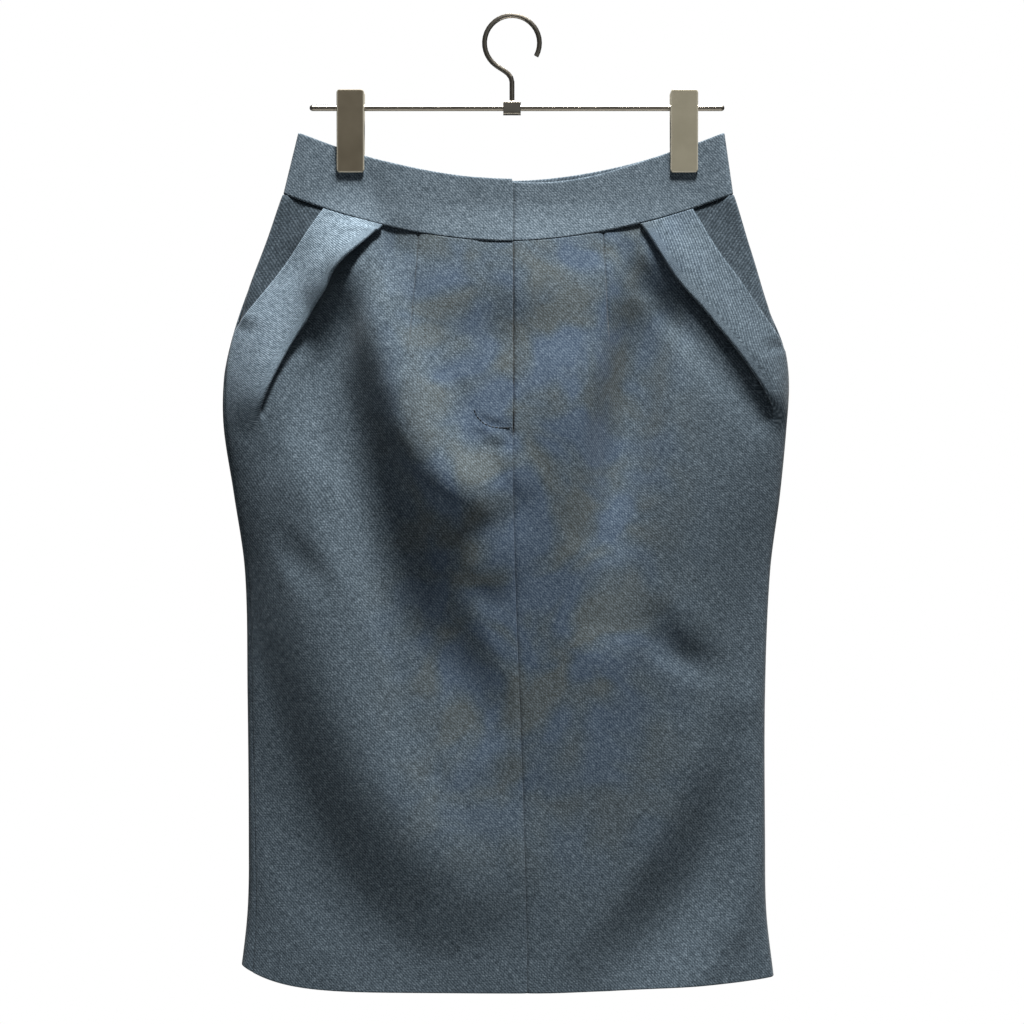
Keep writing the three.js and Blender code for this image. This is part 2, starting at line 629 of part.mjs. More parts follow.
// One back panel's columns, from the side seam to the middle of the back.
function backColumns(ring, side) {
  const { edge, toFront, seam } = sideOf(ring, side);
  const wrap = Math.abs(seam - edge) - EDGE;
  const middle = ring.lengthAt(side === "left" ? -Math.PI / 2 : 1.5 * Math.PI);
  const far = Math.abs(middle - edge);
  const dart = DARTS[`back_${side}`];
  const dartLine = Math.abs(crossing(ring, skirtPoint, dartX(dart), false) - edge);
  const dartAt = lerp(dartLine, far * BACK.dartShare, smooth(ring.v, BACK.from, BACK.to));
  const drop = dropAt(ring, middle);
  const isOver = side === "right";
  const under = isOver ? 0 : VENT.overlap * smooth(drop, VENT.top + VENT.under, VENT.top + VENT.wide);
  const end = under > 0 ? far + under : far - EDGE;
  const open = smooth(drop, VENT.top - VENT.starts, VENT.top);
  const height = (s) => {
    const come = smooth(far - s, VENT.overlap + FLAP_MARGIN, VENT.overlap + FLAP_FALL);
    const raised = isOver ? LAYER * open * (1 - come) : 0;
    return raised - seamDip(far - s) * (1 - open);
  };
  const toDart = spread(-wrap, dartAt - DART_WIDTH, BACK.toDart, undefined, CROWD).slice(0, -1);
  const darts = dartColumns(dart, dartAt, dropAt(ring, edge - toFront * dartAt));
  const plain = far - VENT.overlap - FLAP_MARGIN;
  const toFlap = spread(darts.at(-1).s, plain, BACK.toFlap, height).slice(1);
  const toMiddle = spread(plain, end, BACK.toMiddle, height).slice(1);
  const columns = [...toDart, ...darts, ...toFlap, ...toMiddle];
  return columns.map(({ s, h }) => ({ s: edge - toFront * s, h }));
}

// The panels.
for (const side of ["left", "right"]) {
  addPanel(`front_${side}`, skirtRings, skirtPoint, outOfSkirt, (ring) => frontColumns(ring, side), CLOTH);
  const yokeColumnsOf = (ring) => yokeColumns(ring, side);
  addPanel(`hip_yoke_${side}`, yokeRings(side), skirtPoint, outOfSkirt, yokeColumnsOf, CLOTH);
  addPanel(`back_${side}`, skirtRings, skirtPoint, outOfSkirt, (ring) => backColumns(ring, side), CLOTH);
}

// The waistband: two front pieces that overlap at the fly, and one round the back.
const BAND_ROWS = 4;
const BAND_OVERLAP = 20;
const BAND_PROUD = 0.5; // its outer face stands out past the panels,
const BAND_PROUD_FROM = 12; // at this length from its seams
const BAND_ROUND = 16; // the length of the waistband that bends round a side
const BAND = { round: 4, flat: 9, flap: 3, back: 18 }; // columns
const bandInset = EDGE / (WAIST_SEAM.drop - WAIST_TOP.drop);
const bandRings = [];
for (let k = 0; k <= BAND_ROWS; k++) bandRings.push(makeRing(bandPoint, lerp(bandInset, 1, k / BAND_ROWS)));

function bandFrontColumns(ring, side) {
  const isLeft = side === "left";
  const edge = ring.lengthAt(isLeft ? 0 : Math.PI);
  const toFront = isLeft ? 1 : -1;
  const middle = crossing(ring, bandPoint, () => FLY.x);
  const far = Math.abs(middle - edge);
  const end = isLeft ? far : far + BAND_OVERLAP;
  const height = (s) => {
    const come = smooth(far - s, BAND_OVERLAP + FLAP_MARGIN, BAND_OVERLAP + FLAP_FALL);
    return (isLeft ? BAND_LAYER * (1 - come) : 0) + BAND_PROUD * smooth(s, 0, BAND_PROUD_FROM);
  };
  const plain = far - BAND_OVERLAP - FLAP_MARGIN;
  const round = spread(EDGE, BAND_ROUND, BAND.round, height, CROWD).slice(0, -1);
  const flat = spread(BAND_ROUND, plain, BAND.flat, height).slice(0, -1);
  const columns = [...round, ...flat, ...spread(plain, end, BAND.flap, height)];
  return columns.map(({ s, h }) => ({ s: edge + toFront * s, h }));
}

function bandBackColumns(ring) {
  const right = ring.lengthAt(Math.PI);
  const left = ring.lengthAt(0) + ring.lengthAt(1.5 * Math.PI);
  const height = (s) => BAND_PROUD * smooth(Math.min(s - right, left - s), 0, BAND_PROUD_FROM);
  const start = spread(right + EDGE, right + BAND_ROUND, BAND.round, height, CROWD).slice(0, -1);
  const end = spread(left - EDGE, left - BAND_ROUND, BAND.round, height, CROWD).slice(0, -1);
  return [...start, ...spread(right + BAND_ROUND, left - BAND_ROUND, BAND.back, height), ...end.reverse()];
}

for (const side of ["left", "right"]) {
  const columnsOf = (ring) => bandFrontColumns(ring, side);
  addPanel(`waistband_${side}`, bandRings, bandPoint, outOfBand, columnsOf, BAND_CLOTH);
}
addPanel("waistband_back", bandRings, bandPoint, outOfBand, bandBackColumns, BAND_CLOTH);

// A rounded rectangle round the origin.
function roundedRectangle(width, height, corner) {
  const shape = new THREE.Shape();
  const x = width / 2 - corner;
  const y = height / 2 - corner;
  shape.absarc(x, -y, corner, -Math.PI / 2, 0);
  shape.absarc(x, y, corner, 0, Math.PI / 2);
  shape.absarc(-x, y, corner, Math.PI / 2, Math.PI);
  shape.absarc(-x, -y, corner, Math.PI, 1.5 * Math.PI);
  return shape;
}

// A block along X with a bore for the bar.
function boredBlock(width, depth, height, corner) {
  const shape = roundedRectangle(depth, height, corner);
  const bore = new THREE.Path();
  bore.absarc(0, 0, COLLAR.bore, 0, 2 * Math.PI, true);
  shape.holes.push(bore);
  const settings = { depth: width, bevelEnabled: false, curveSegments: 5 };
  const geometry = new THREE.ExtrudeGeometry(shape, settings);
  geometry.translate(0, 0, -width / 2);
  geometry.rotateX(Math.PI / 2);
  geometry.rotateZ(Math.PI / 2);
  return geometry;
}

function makeBar() {
  const half = (BAR.right - BAR.left) / 2;
  const profile = [new THREE.Vector2(0, -half)];
  const END_STEPS = 3;
  for (let k = 1; k <= END_STEPS; k++) {
    const angle = (Math.PI / 2) * (k / END_STEPS);
    const inwards = BAR.radius * (1 - Math.cos(angle));
    profile.push(new THREE.Vector2(BAR.radius * Math.sin(angle), -half + inwards));
  }
  for (let k = END_STEPS; k >= 0; k--) profile.push(new THREE.Vector2(profile[k].x, -profile[k].y));
  const bar = addPiece("hanger_bar", new THREE.LatheGeometry(profile, 16), wireMetal);
  bar.rotation.z = Math.PI / 2;
  bar.position.set((BAR.left + BAR.right) / 2, 0, -BAR.drop);
}

// The hook: round the rail, and down a short bend to its stem.
function makeHook() {
  const radius = HOOK.inner + HOOK.wire;
  const centre = -HOOK.inner;
  const place = (angle) => {
    return new THREE.Vector3(radius * Math.cos(angle), 0, centre + radius * Math.sin(angle));
  };
  class Round extends THREE.Curve {
    getPoint(t, target = new THREE.Vector3()) {
      return target.copy(place(lerp(HOOK.tip, HOOK.leaves, t)));
    }
  }
  const leave = place(HOOK.leaves);
  const along = new THREE.Vector3(-Math.sin(HOOK.leaves), 0, Math.cos(HOOK.leaves));
  const leaveOn = leave.clone().addScaledVector(along, HOOK.pull);
  const stemPull = new THREE.Vector3(0, 0, -HOOK.stemTop + HOOK.pull);
  const stemTop = new THREE.Vector3(0, 0, -HOOK.stemTop);
  const stemEnd = new THREE.Vector3(0, 0, -(BAR.drop - COLLAR.height / 2 - SEAM_GAP));
  const path = new THREE.CurvePath();
  path.add(new Round());
  path.add(new THREE.CubicBezierCurve3(leave, leaveOn, stemPull, stemTop));
  path.add(new THREE.LineCurve3(stemTop, stemEnd));
  const section = new THREE.Shape();
  section.absarc(0, 0, HOOK.wire, 0, 2 * Math.PI);
  const settings = { steps: 36, curveSegments: 6, extrudePath: path, bevelEnabled: false };
  addPiece("hanger_hook", new THREE.ExtrudeGeometry(section, settings), wireMetal);
}

function makeClips() {
  const { width, height, thick, corner, bevel } = PLATE;
  const flat = roundedRectangle(width - 2 * bevel, height - 2 * bevel, corner - bevel);
  const plateY = PINCH.half + BAND_CLOTH / 2 + BAND_PROUD + SEAM_GAP;
  const bevels = { bevelSize: bevel, bevelThickness: bevel, bevelSegments: 1 };
  const settings = { depth: thick - 2 * bevel, curveSegments: 4, ...bevels };
  for (const clip of CLIPS) {
    for (const [face, sign] of [["front", -1], ["back", 1]]) {
      const geometry = new THREE.ExtrudeGeometry(flat, settings);
      geometry.translate(0, height / 2, bevel);
      geometry.rotateX(Math.PI / 2);
      if (face === "back") geometry.translate(0, thick, 0);
      const plate = addPiece(`clip_${clip.name}_${face}`, geometry, clipMetal);
      plate.rotation.x = -sign * PLATE.lean;
      plate.position.set(clip.x, sign * plateY, -PLATE.bottom);
    }
    const block = boredBlock(SADDLE.width, SADDLE.depth, SADDLE.height, COLLAR.corner);
    addPiece(`clip_${clip.name}_saddle`, block, clipMetal).position.set(clip.x, 0, -BAR.drop);
  }
}

makeBar();
makeHook();
makeClips();
const collar = boredBlock(COLLAR.width, COLLAR.height, COLLAR.height, COLLAR.corner);
addPiece("hanger_collar", collar, wireMetal).position.set(0, 0, -BAR.drop);

export default skirt;
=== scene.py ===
# %% [markdown]
# # A wool pencil skirt on a clip hanger
# The skirt hangs from two pinch clips, so its cloth is pulled flat at the waist and falls in soft
# folds below the hips. This lesson rebuilds every panel as a thin sheet of cloth that follows the
# same measurements as the solid model, then gives the hanger its finish, and lights the scene.
# The first step loads the solid model, which fixes the place and size of all that follows.

# %% Load the frame
import math

import bmesh
import bpy
import numpy as np
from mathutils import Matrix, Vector


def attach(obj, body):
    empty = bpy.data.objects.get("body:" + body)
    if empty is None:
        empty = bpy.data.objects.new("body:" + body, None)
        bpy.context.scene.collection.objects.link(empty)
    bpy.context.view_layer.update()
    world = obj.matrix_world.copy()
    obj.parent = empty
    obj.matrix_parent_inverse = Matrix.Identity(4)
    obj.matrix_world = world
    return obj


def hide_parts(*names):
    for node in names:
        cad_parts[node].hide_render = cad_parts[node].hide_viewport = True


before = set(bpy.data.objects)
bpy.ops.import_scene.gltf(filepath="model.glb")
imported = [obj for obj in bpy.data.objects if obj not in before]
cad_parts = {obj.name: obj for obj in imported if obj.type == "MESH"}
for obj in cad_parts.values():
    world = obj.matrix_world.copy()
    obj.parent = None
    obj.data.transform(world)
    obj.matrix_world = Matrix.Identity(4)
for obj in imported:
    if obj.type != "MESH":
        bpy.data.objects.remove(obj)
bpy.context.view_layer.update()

# %% [markdown]
# ## The camera
# The photograph is taken straight on, level with the middle of the skirt. One pixel of it is
# 0.8 mm on the skirt, so 1024 pixels are 819 mm wide at the cloth. A long lens from 2.6 m away
# shows the sides as little as the photograph does.

# %% Camera
MM = 0.001
VIEW_WIDTH = 819.2 * MM
VIEW_DROP = 395.2 * MM
CAMERA_DISTANCE = 2.6
SENSOR = 36.0

camera_data = bpy.data.cameras.new("camera")
camera_data.sensor_width = SENSOR
camera_data.lens = SENSOR * CAMERA_DISTANCE / VIEW_WIDTH
camera = bpy.data.objects.new("camera", camera_data)
bpy.context.scene.collection.objects.link(camera)
camera.location = (0, -CAMERA_DISTANCE, -VIEW_DROP)
camera.rotation_euler = (math.pi / 2, 0, 0)
bpy.context.scene.camera = camera
print("lens", round(camera_data.lens, 1), "mm")

# %% [markdown]
# ## The measurements
# A pattern cutter works from a table of widths at known heights. Here a "drop" is a distance in
# millimetres below the rail that the hanger hangs on. The tables of the outline are the solid
# model's own, so that each sheet of cloth lies on its solid. The pleats open a little further
# down here, and stand a little less proud, because a thin sheet shows its edge more sharply.

# %% Tables of the skirt
CLOTH = 1.2
BAND_CLOTH = 2.4
LAYER = 1.5
BAND_LAYER = 2.7
WAIST_TOP = {"drop": 129.6, "rise": 37.4, "left": -170, "right": 169}
WAIST_SEAM = {"drop": 180, "rise": 38.6, "left": -182, "right": 176}
WAIST_BEND = 1.8
WAIST_SLUMP = {"depth": 4.5, "x": 46, "reach": 85}
HEM = {"front": 776, "back": 763, "left": 757, "right": 766}
HEM_BEND = {"left": 7, "right": 2.5}
SIDE_RADIUS = 2.2
SIDE_CALM = 0.42
OUTLINE = {
    "drop": [142, 186, 232, 262, 290, 328, 380, 443, 540, 660, 715, 768],
    "left": [-182, -199, -216, -225, -230, -230, -222, -213, -211, -210, -211, -217],
    "right": [176, 191, 205, 217, 221, 219, 214, 206, 202, 202, 203, 209],
}
DEPTH = {
    "drop": [90, 130, 180, 230, 290, 360, 440, 560, 700, 780],
    "front": [6, 7, 10, 21, 34, 41, 41, 36, 31, 30],
    "back": [5, 6, 9, 18, 28, 34, 35, 33, 30, 29],
}
SIDE_WRAP = {
    "drop": [142, 262, 310, 380, 560, 690, 768],
    "left": [0, 0.4, 2.8, 3.2, 4.5, 6.4, 9.6],
    "right": [0, 0, 0.1, 0.2, 0.4, 0.6, 0.8],
}
CLIP_X = (-129, 137.5)
PINCH = {"half": 1.35, "flat": 13, "reach": 38, "from": 127, "gone": 200}
FLY = {"x": 0.8, "hem_x": 12, "end": 330, "overlap": 22}
DARTS = {
    "front_left": {"top": -75, "end_x": -82, "end": 278, "depth": 1.9},
    "front_right": {"top": 73, "end_x": 78, "end": 270, "depth": 1.9},
    "back_left": {"top": -80, "end_x": -84, "end": 290, "depth": 1.9},
    "back_right": {"top": 78, "end_x": 82, "end": 290, "depth": 1.9},
}
DART_WIDTH = 0.8
VENT = {"top": 600, "overlap": 34}
MOUTHS = {
    "left": {"drop": [150, 195, 251], "x": [-149, -179, -221.5]},
    "right": {"drop": [150, 188, 210, 266], "x": [143, 165, 181, 218]},
}
TURNED_EDGES = {
    "left": {"drop": [160, 196, 228, 262, 295, 334], "x": [-98, -130, -152, -176, -192, -205]},
    "right": {"drop": [162, 204, 242, 278, 310, 334], "x": [100, 128, 157, 185, 205, 209]},
}
PLEAT = {
    "depth": 27,
    "end_depth": 8,
    "settled": 50,
    "opens": 298,
    "ends": 338,
    "open_layer": 2.2,
}
LIFT = {
    "drop": [160, 200, 236, 270, 300, 336],
    "left": [0.5, 8, 5, 2.4, 1.2, 0.4],
    "right": [0.5, 2.5, 3.6, 3.8, 2.6, 0.8],
}
TUCK = {"depth": 2.2, "from": 0.3, "to": 0.55, "height": 0.07}
MOUTH = {"level": 3.2, "closes": 13}
YOKE = {"under": 8, "past": 7, "inwards": 2, "below_band": 0.6}

# %% [markdown]
# ## The folds
# A hanging skirt shows what its cut does: from each clip and pocket the cloth falls in long curved
# swags towards the middle. Each is one soft ridge or trough along a curve from one place, by
# another, to a third (x and drop). Its reach is the distance from the crest where the cloth is
# flat again, and a height below 0 makes a trough. The large ones are in the solid model too, but
# are less deep there. The rows of FRONT_FOLDS weren't placed by hand: a separate program fitted
# them to the photograph's light and dark, and four of them were changed by hand after that. The
# creases and the rows of the back were placed one by one.

# %% Folds, a row each
# Each row: from x, from drop, by x, by drop, to x, to drop, reach, height.
FRONT_FOLDS = [
    (-134, 179, -98, 306, -22, 424, 46, 13),
    (-162, 218, -145, 339, -38, 555, 48, -14),
    (-163, 391, -159, 571, -53, 698, 55, 14),
    (-213, 527, -179, 699, -63, 765, 48, -3),
    (-87, 178, -138, 247, -174, 326, 22, -5),
    (-124, 176, -115, 221, -95, 284, 27, 6.5),
    (-126, 204, -130, 254, -112, 318, 28, -5),
    (-179, 415, -167, 436, -152, 456, 19, -3),
    (-80, 310, -54, 404, -6, 368, 34, 9),
    (-7, 372, -12, 410, -4, 479, 29, -1),
    (-68, 201, -1, 212, 90, 197, 58, 8),
    (90, 192, 131, 246, 195, 323, 16, -4),
    (104, 226, 96, 309, 75, 475, 39, -14),
    (149, 300, 122, 450, 50, 560, 62, -0.5),
    (113, 452, 137, 472, 167, 494, 17, 1),
    (112, 484, 128, 514, 157, 519, 20, -4),
    (192, 588, 153, 708, 77, 776, 51, -14),
    (203, 390, 193, 471, 147, 553, 46, -3.5),
    (200, 560, 198, 642, 172, 714, 37, 8),
    (75, 186, 55, 291, 10, 351, 41, 4),
    (115, 212, 98, 295, 72, 405, 38, -12),
    (-65, 473, -40, 516, -15, 560, 33, -2.5),
    (-82, 626, -19, 678, 24, 692, 63, 4.5),
    (-22, 194, -19, 260, -16, 322, 37, -3.5),
    (42, 230, 39, 330, 41, 421, 36, 1.5),
]
BACK_FOLDS = [
    (-150, 230, -120, 400, -30, 520, 54, 8),
    (-190, 330, -150, 500, -50, 610, 50, -8),
    (146, 240, 110, 380, 40, 470, 50, 7),
    (180, 350, 150, 520, 60, 620, 52, -8),
    (170, 560, 140, 680, 80, 740, 44, 6),
]
FRONT_CREASES = [
    (-160, 330, -150, 372, -128, 410, 12, 1.2),
    (-60, 420, -40, 452, -8, 470, 14, -1.0),
    (-28, 320, -16, 328, -2, 329, 6, -1.2),
    (-22, 335, -12, 336, -2, 337, 8, 1.8),
    (60, 300, 74, 340, 80, 392, 16, -1.0),
    (-30, 220, -26, 262, -34, 300, 14, 0.8),
    (34, 210, 30, 262, 38, 318, 14, 0.8),
]
BACK_CREASES = [
    (-120, 250, -110, 300, -84, 340, 16, -1.2),
    (110, 240, 104, 292, 84, 330, 16, -1.2),
    (-20, 560, -14, 600, -4, 640, 16, 1.0),
]
ALL_FRONT = FRONT_FOLDS + FRONT_CREASES
ALL_BACK = BACK_FOLDS + BACK_CREASES
print(len(ALL_FRONT), "folds on the front,", len(ALL_BACK), "on the back")

# %% [markdown]
# ## From tables to a surface
# Between two rows of a table the outline is a smooth curve (a Hermite curve), so that no corner
# shows at a row. A fold's height falls off smoothly to each side of its curve and towards its ends.


# %% Curves through tables and folds
def smooth_step(x, low, high):
    t = np.clip((np.asarray(x, float) - low) / (high - low), 0, 1)
    return t * t * (3 - 2 * t)


def read(table, column, drop):
    """The value of a column at a drop, on a smooth curve through the rows."""
    drops = np.array(table["drop"], float)
    values = np.array(table[column], float)
    d = np.clip(drop, drops[0], drops[-1])
    i = np.clip(np.searchsorted(drops, d, side="right") - 1, 0, len(drops) - 2)
    before = np.maximum(np.arange(len(drops)) - 1, 0)
    after = np.minimum(np.arange(len(drops)) + 1, len(drops) - 1)
    slope = (values[after] - values[before]) / (drops[after] - drops[before])
    span = drops[i + 1] - drops[i]
    t = (d - drops[i]) / span
    level = (2 * t**3 - 3 * t**2 + 1) * values[i] + (3 * t**2 - 2 * t**3) * values[i + 1]
    return level + span * ((t**3 - 2 * t**2 + t) * slope[i] + (t**3 - t**2) * slope[i + 1])


def read_on(table, column, drop):
    """The same, going straight on past the last row."""
    (d0, d1), (x0, x1) = table["drop"][-2:], table[column][-2:]
    return read(table, column, drop) if drop <= d1 else x1 + (x1 - x0) / (d1 - d0) * (drop - d1)


FOLD_END = 0.35
FOLD_STEPS = 19


def fold_height(folds, x, drop):
    """The sum of the folds' heights, each by the distance to its own curve."""
    total = np.zeros_like(x)
    t = np.linspace(0, 1, FOLD_STEPS)[:, None]
    for x0, d0, x1, d1, x2, d2, reach, height in folds:
        chain = (1 - t) ** 2 * (x0, d0) + 2 * t * (1 - t) * (x1, d1) + t**2 * (x2, d2)
        low, high = chain.min(0) - reach, chain.max(0) + reach
        near = (x > low[0]) & (x < high[0]) & (drop > low[1]) & (drop < high[1])
        if not near.any():
            continue
        place = np.stack([x[near], drop[near]], -1)[:, None]
        step = np.diff(chain, axis=0)
        share = np.clip(((place - chain[:-1]) * step).sum(-1) / (step**2).sum(-1), 0, 1)
        far = np.linalg.norm(place - chain[:-1] - share[..., None] * step, axis=-1)
        best = far.argmin(1)
        rows = np.arange(len(best))
        along = (best + share[rows, best]) / len(step)
        fade = np.clip(far[rows, best] / reach, 0, 1)
        swell = FOLD_END + (1 - FOLD_END) * np.sin(np.pi * along)
        total[near] += height * (1 - fade**2) ** 2 * swell
    return total


# %% [markdown]
# ## The section of the skirt
# Cut across, a flattened skirt is a thin lens with rounded sides. The turn goes round it: 0 at
# the left side, half a circle at the right side, and the rest along the back. The clips pinch the
# lens flat. A ring is one such section from side seam to side seam, with its length measured
# along the cloth, because cloth keeps its length however it lies.


# %% Points of the skirt and of the waistband
RIPPLE = {"height": 0.22, "from": 200, "full": 320}


def surface_point(turn, left_x, right_x, drop, tuck):
    across = -np.cos(turn)
    x = left_x + (right_x - left_x) * (across + 1) / 2
    out = np.sin(turn)
    is_front = out >= 0
    inset = np.minimum((1 - np.abs(across)) * (right_x - left_x) / 2, SIDE_RADIUS)
    bend = np.sqrt(np.maximum(inset * (2 * SIDE_RADIUS - inset), 0))
    deep = np.where(is_front, read(DEPTH, "front", drop), read(DEPTH, "back", drop))
    full = bend + (deep - SIDE_RADIUS) * np.abs(out)
    near = np.minimum(np.abs(x - CLIP_X[0]), np.abs(x - CLIP_X[1]))
    held = 1 - smooth_step(near, PINCH["flat"], PINCH["reach"])
    held = held * (1 - smooth_step(drop, PINCH["from"], PINCH["gone"]))
    inside = smooth_step(np.abs(out), 0, SIDE_CALM)
    folds = np.zeros_like(x)
    folds[is_front] = fold_height(ALL_FRONT, x[is_front], drop[is_front])
    folds[~is_front] = fold_height(ALL_BACK, x[~is_front], drop[~is_front])
    # Real cloth is never quite even: two crossed waves, each bent by the other's direction.
    ripple = np.sin(x / 17 + 2.1 * np.sin(drop / 61)) * np.sin(drop / 29 + 1.3 * np.sin(x / 47))
    folds = folds + RIPPLE["height"] * ripple * smooth_step(drop, RIPPLE["from"], RIPPLE["full"])
    pinched = full + held * (np.minimum(PINCH["half"], full) - full)
    depth = pinched + (folds - tuck * is_front) * inside
    return np.stack([x, np.where(is_front, -depth, depth), -drop], -1)


def sag(turn, centre, left, right, bend_left, bend_right):
    across = -np.cos(turn)
    side = np.where(across < 0, left, right)
    bend = np.where(across < 0, bend_left, bend_right)
    return centre + (side - centre) * np.abs(across) ** bend


def skirt_place(turn, v):
    """The sides' x, the drop and the tuck. v is 0 at the waist seam and 1 at the hem."""
    side = WAIST_SEAM["drop"] - WAIST_SEAM["rise"]
    left = side + (HEM["left"] - side) * v
    right = side + (HEM["right"] - side) * v
    hem = np.where(np.sin(turn) >= 0, HEM["front"], HEM["back"])
    centre = WAIST_SEAM["drop"] + (hem - WAIST_SEAM["drop"]) * v
    bend_left = WAIST_BEND + (HEM_BEND["left"] - WAIST_BEND) * v * v
    bend_right = WAIST_BEND + (HEM_BEND["right"] - WAIST_BEND) * v
    drop = sag(turn, centre, left, right, bend_left, bend_right)
    tuck = TUCK["depth"] * smooth_step(np.abs(np.cos(turn)), TUCK["from"], TUCK["to"])
    tuck = tuck * (1 - smooth_step(v, 0, TUCK["height"]))
    return read(OUTLINE, "left", left), read(OUTLINE, "right", right), drop, tuck


def band_place(turn, v):
    """The same for the waistband. v is 0 at its seam and 1 at its top."""
    curves = []
    for edge in (WAIST_SEAM, WAIST_TOP):
        side = edge["drop"] - edge["rise"]
        curves.append(sag(turn, edge["drop"], side, side, WAIST_BEND, WAIST_BEND))
    left_x = WAIST_SEAM["left"] + (WAIST_TOP["left"] - WAIST_SEAM["left"]) * v
    right_x = WAIST_SEAM["right"] + (WAIST_TOP["right"] - WAIST_SEAM["right"]) * v
    x = left_x + (right_x - left_x) * (1 - np.cos(turn)) / 2
    share = np.clip(np.abs(x - WAIST_SLUMP["x"]) / WAIST_SLUMP["reach"], 0, 1)
    slump = WAIST_SLUMP["depth"] * (1 - share**2) ** 2 * ((np.sin(turn) >= 0) & (x > 0))
    return left_x, right_x, curves[0] + (curves[1] + slump - curves[0]) * v, 0


def point_on(place, turn, v):
    turn = np.asarray(turn, float)
    return surface_point(turn, *place(turn, v))


STRETCH = 0.03


def outward(place, turn, v):
    """The direction out of the surface, taken over a small stretch of it."""
    above = np.clip(v - STRETCH, 0, 1 - 2 * STRETCH)
    round_it = point_on(place, turn + STRETCH, v) - point_on(place, turn - STRETCH, v)
    down = point_on(place, turn, above + 2 * STRETCH) - point_on(place, turn, above)
    out = np.cross(down, round_it)
    if place is band_place:
        out = -out
    return out / np.linalg.norm(out, axis=-1, keepdims=True)


# %% Rings
class Ring:
    """One section, with its length along the cloth counted from the middle of the back."""

    SAMPLES = 1200
    PAST = 1.7

    def __init__(self, place, v):
        self.v = v
        self.place = place
        self.turns = np.linspace(-math.pi / 2 - self.PAST, 1.5 * math.pi + self.PAST, self.SAMPLES)
        steps = np.diff(point_on(place, self.turns, v), axis=0)
        self.lengths = np.concatenate([[0], np.cumsum(np.linalg.norm(steps, axis=1))])
        self.lengths -= np.interp(-math.pi / 2, self.turns, self.lengths)

    def length_at(self, turn):
        return float(np.interp(turn, self.turns, self.lengths))

    def turn_at(self, length):
        return np.interp(length, self.lengths, self.turns)

    def drop_at(self, length):
        return float(self.place(self.turn_at(length), self.v)[2])

    def crossing(self, line_x, front=True):
        """Where the ring crosses a line whose x is known at each drop."""
        turn = math.pi / 2 if front else 1.5 * math.pi
        left, right = self.place(0.0, self.v)[:2]
        for _ in range(8):
            x = line_x(float(self.place(turn, self.v)[2]))
            flat = math.acos(min(max(1 - 2 * (x - left) / (right - left), -1), 1))
            turn = flat if front else (-flat if x < (left + right) / 2 else 2 * math.pi - flat)
        return self.length_at(turn)


EDGE = 0.04
# The rings stand close together at the waist and the hem, and along the pockets.
skirt_shares = np.concatenate(
    [
        [0.0001, 0.0006, 0.0014, 0.0026, 0.0045],
        np.linspace(0.0075, 0.316, 76),
        np.linspace(0.316, 0.994, 94)[1:],
        [0.9965, 0.998, 0.9992, 1],
    ]
)
skirt_rings = [Ring(skirt_place, v) for v in skirt_shares]
print(len(skirt_rings), "rings")

# %% [markdown]
# ## A sheet of cloth
# Real cloth has a thickness, and its edges are turned and rounded. A sheet is a grid of middle
# points. Each gets a point on the outer face and one on the inner face, and the thickness fades
# at the rim so that the turned edge looks soft. The grid also gives the sheet its UV map in
# metres along the cloth, which is what a weave has to follow.


# %% Build a sheet from a grid
RIM = {"depth": 0.5, "thinned": 0.8}


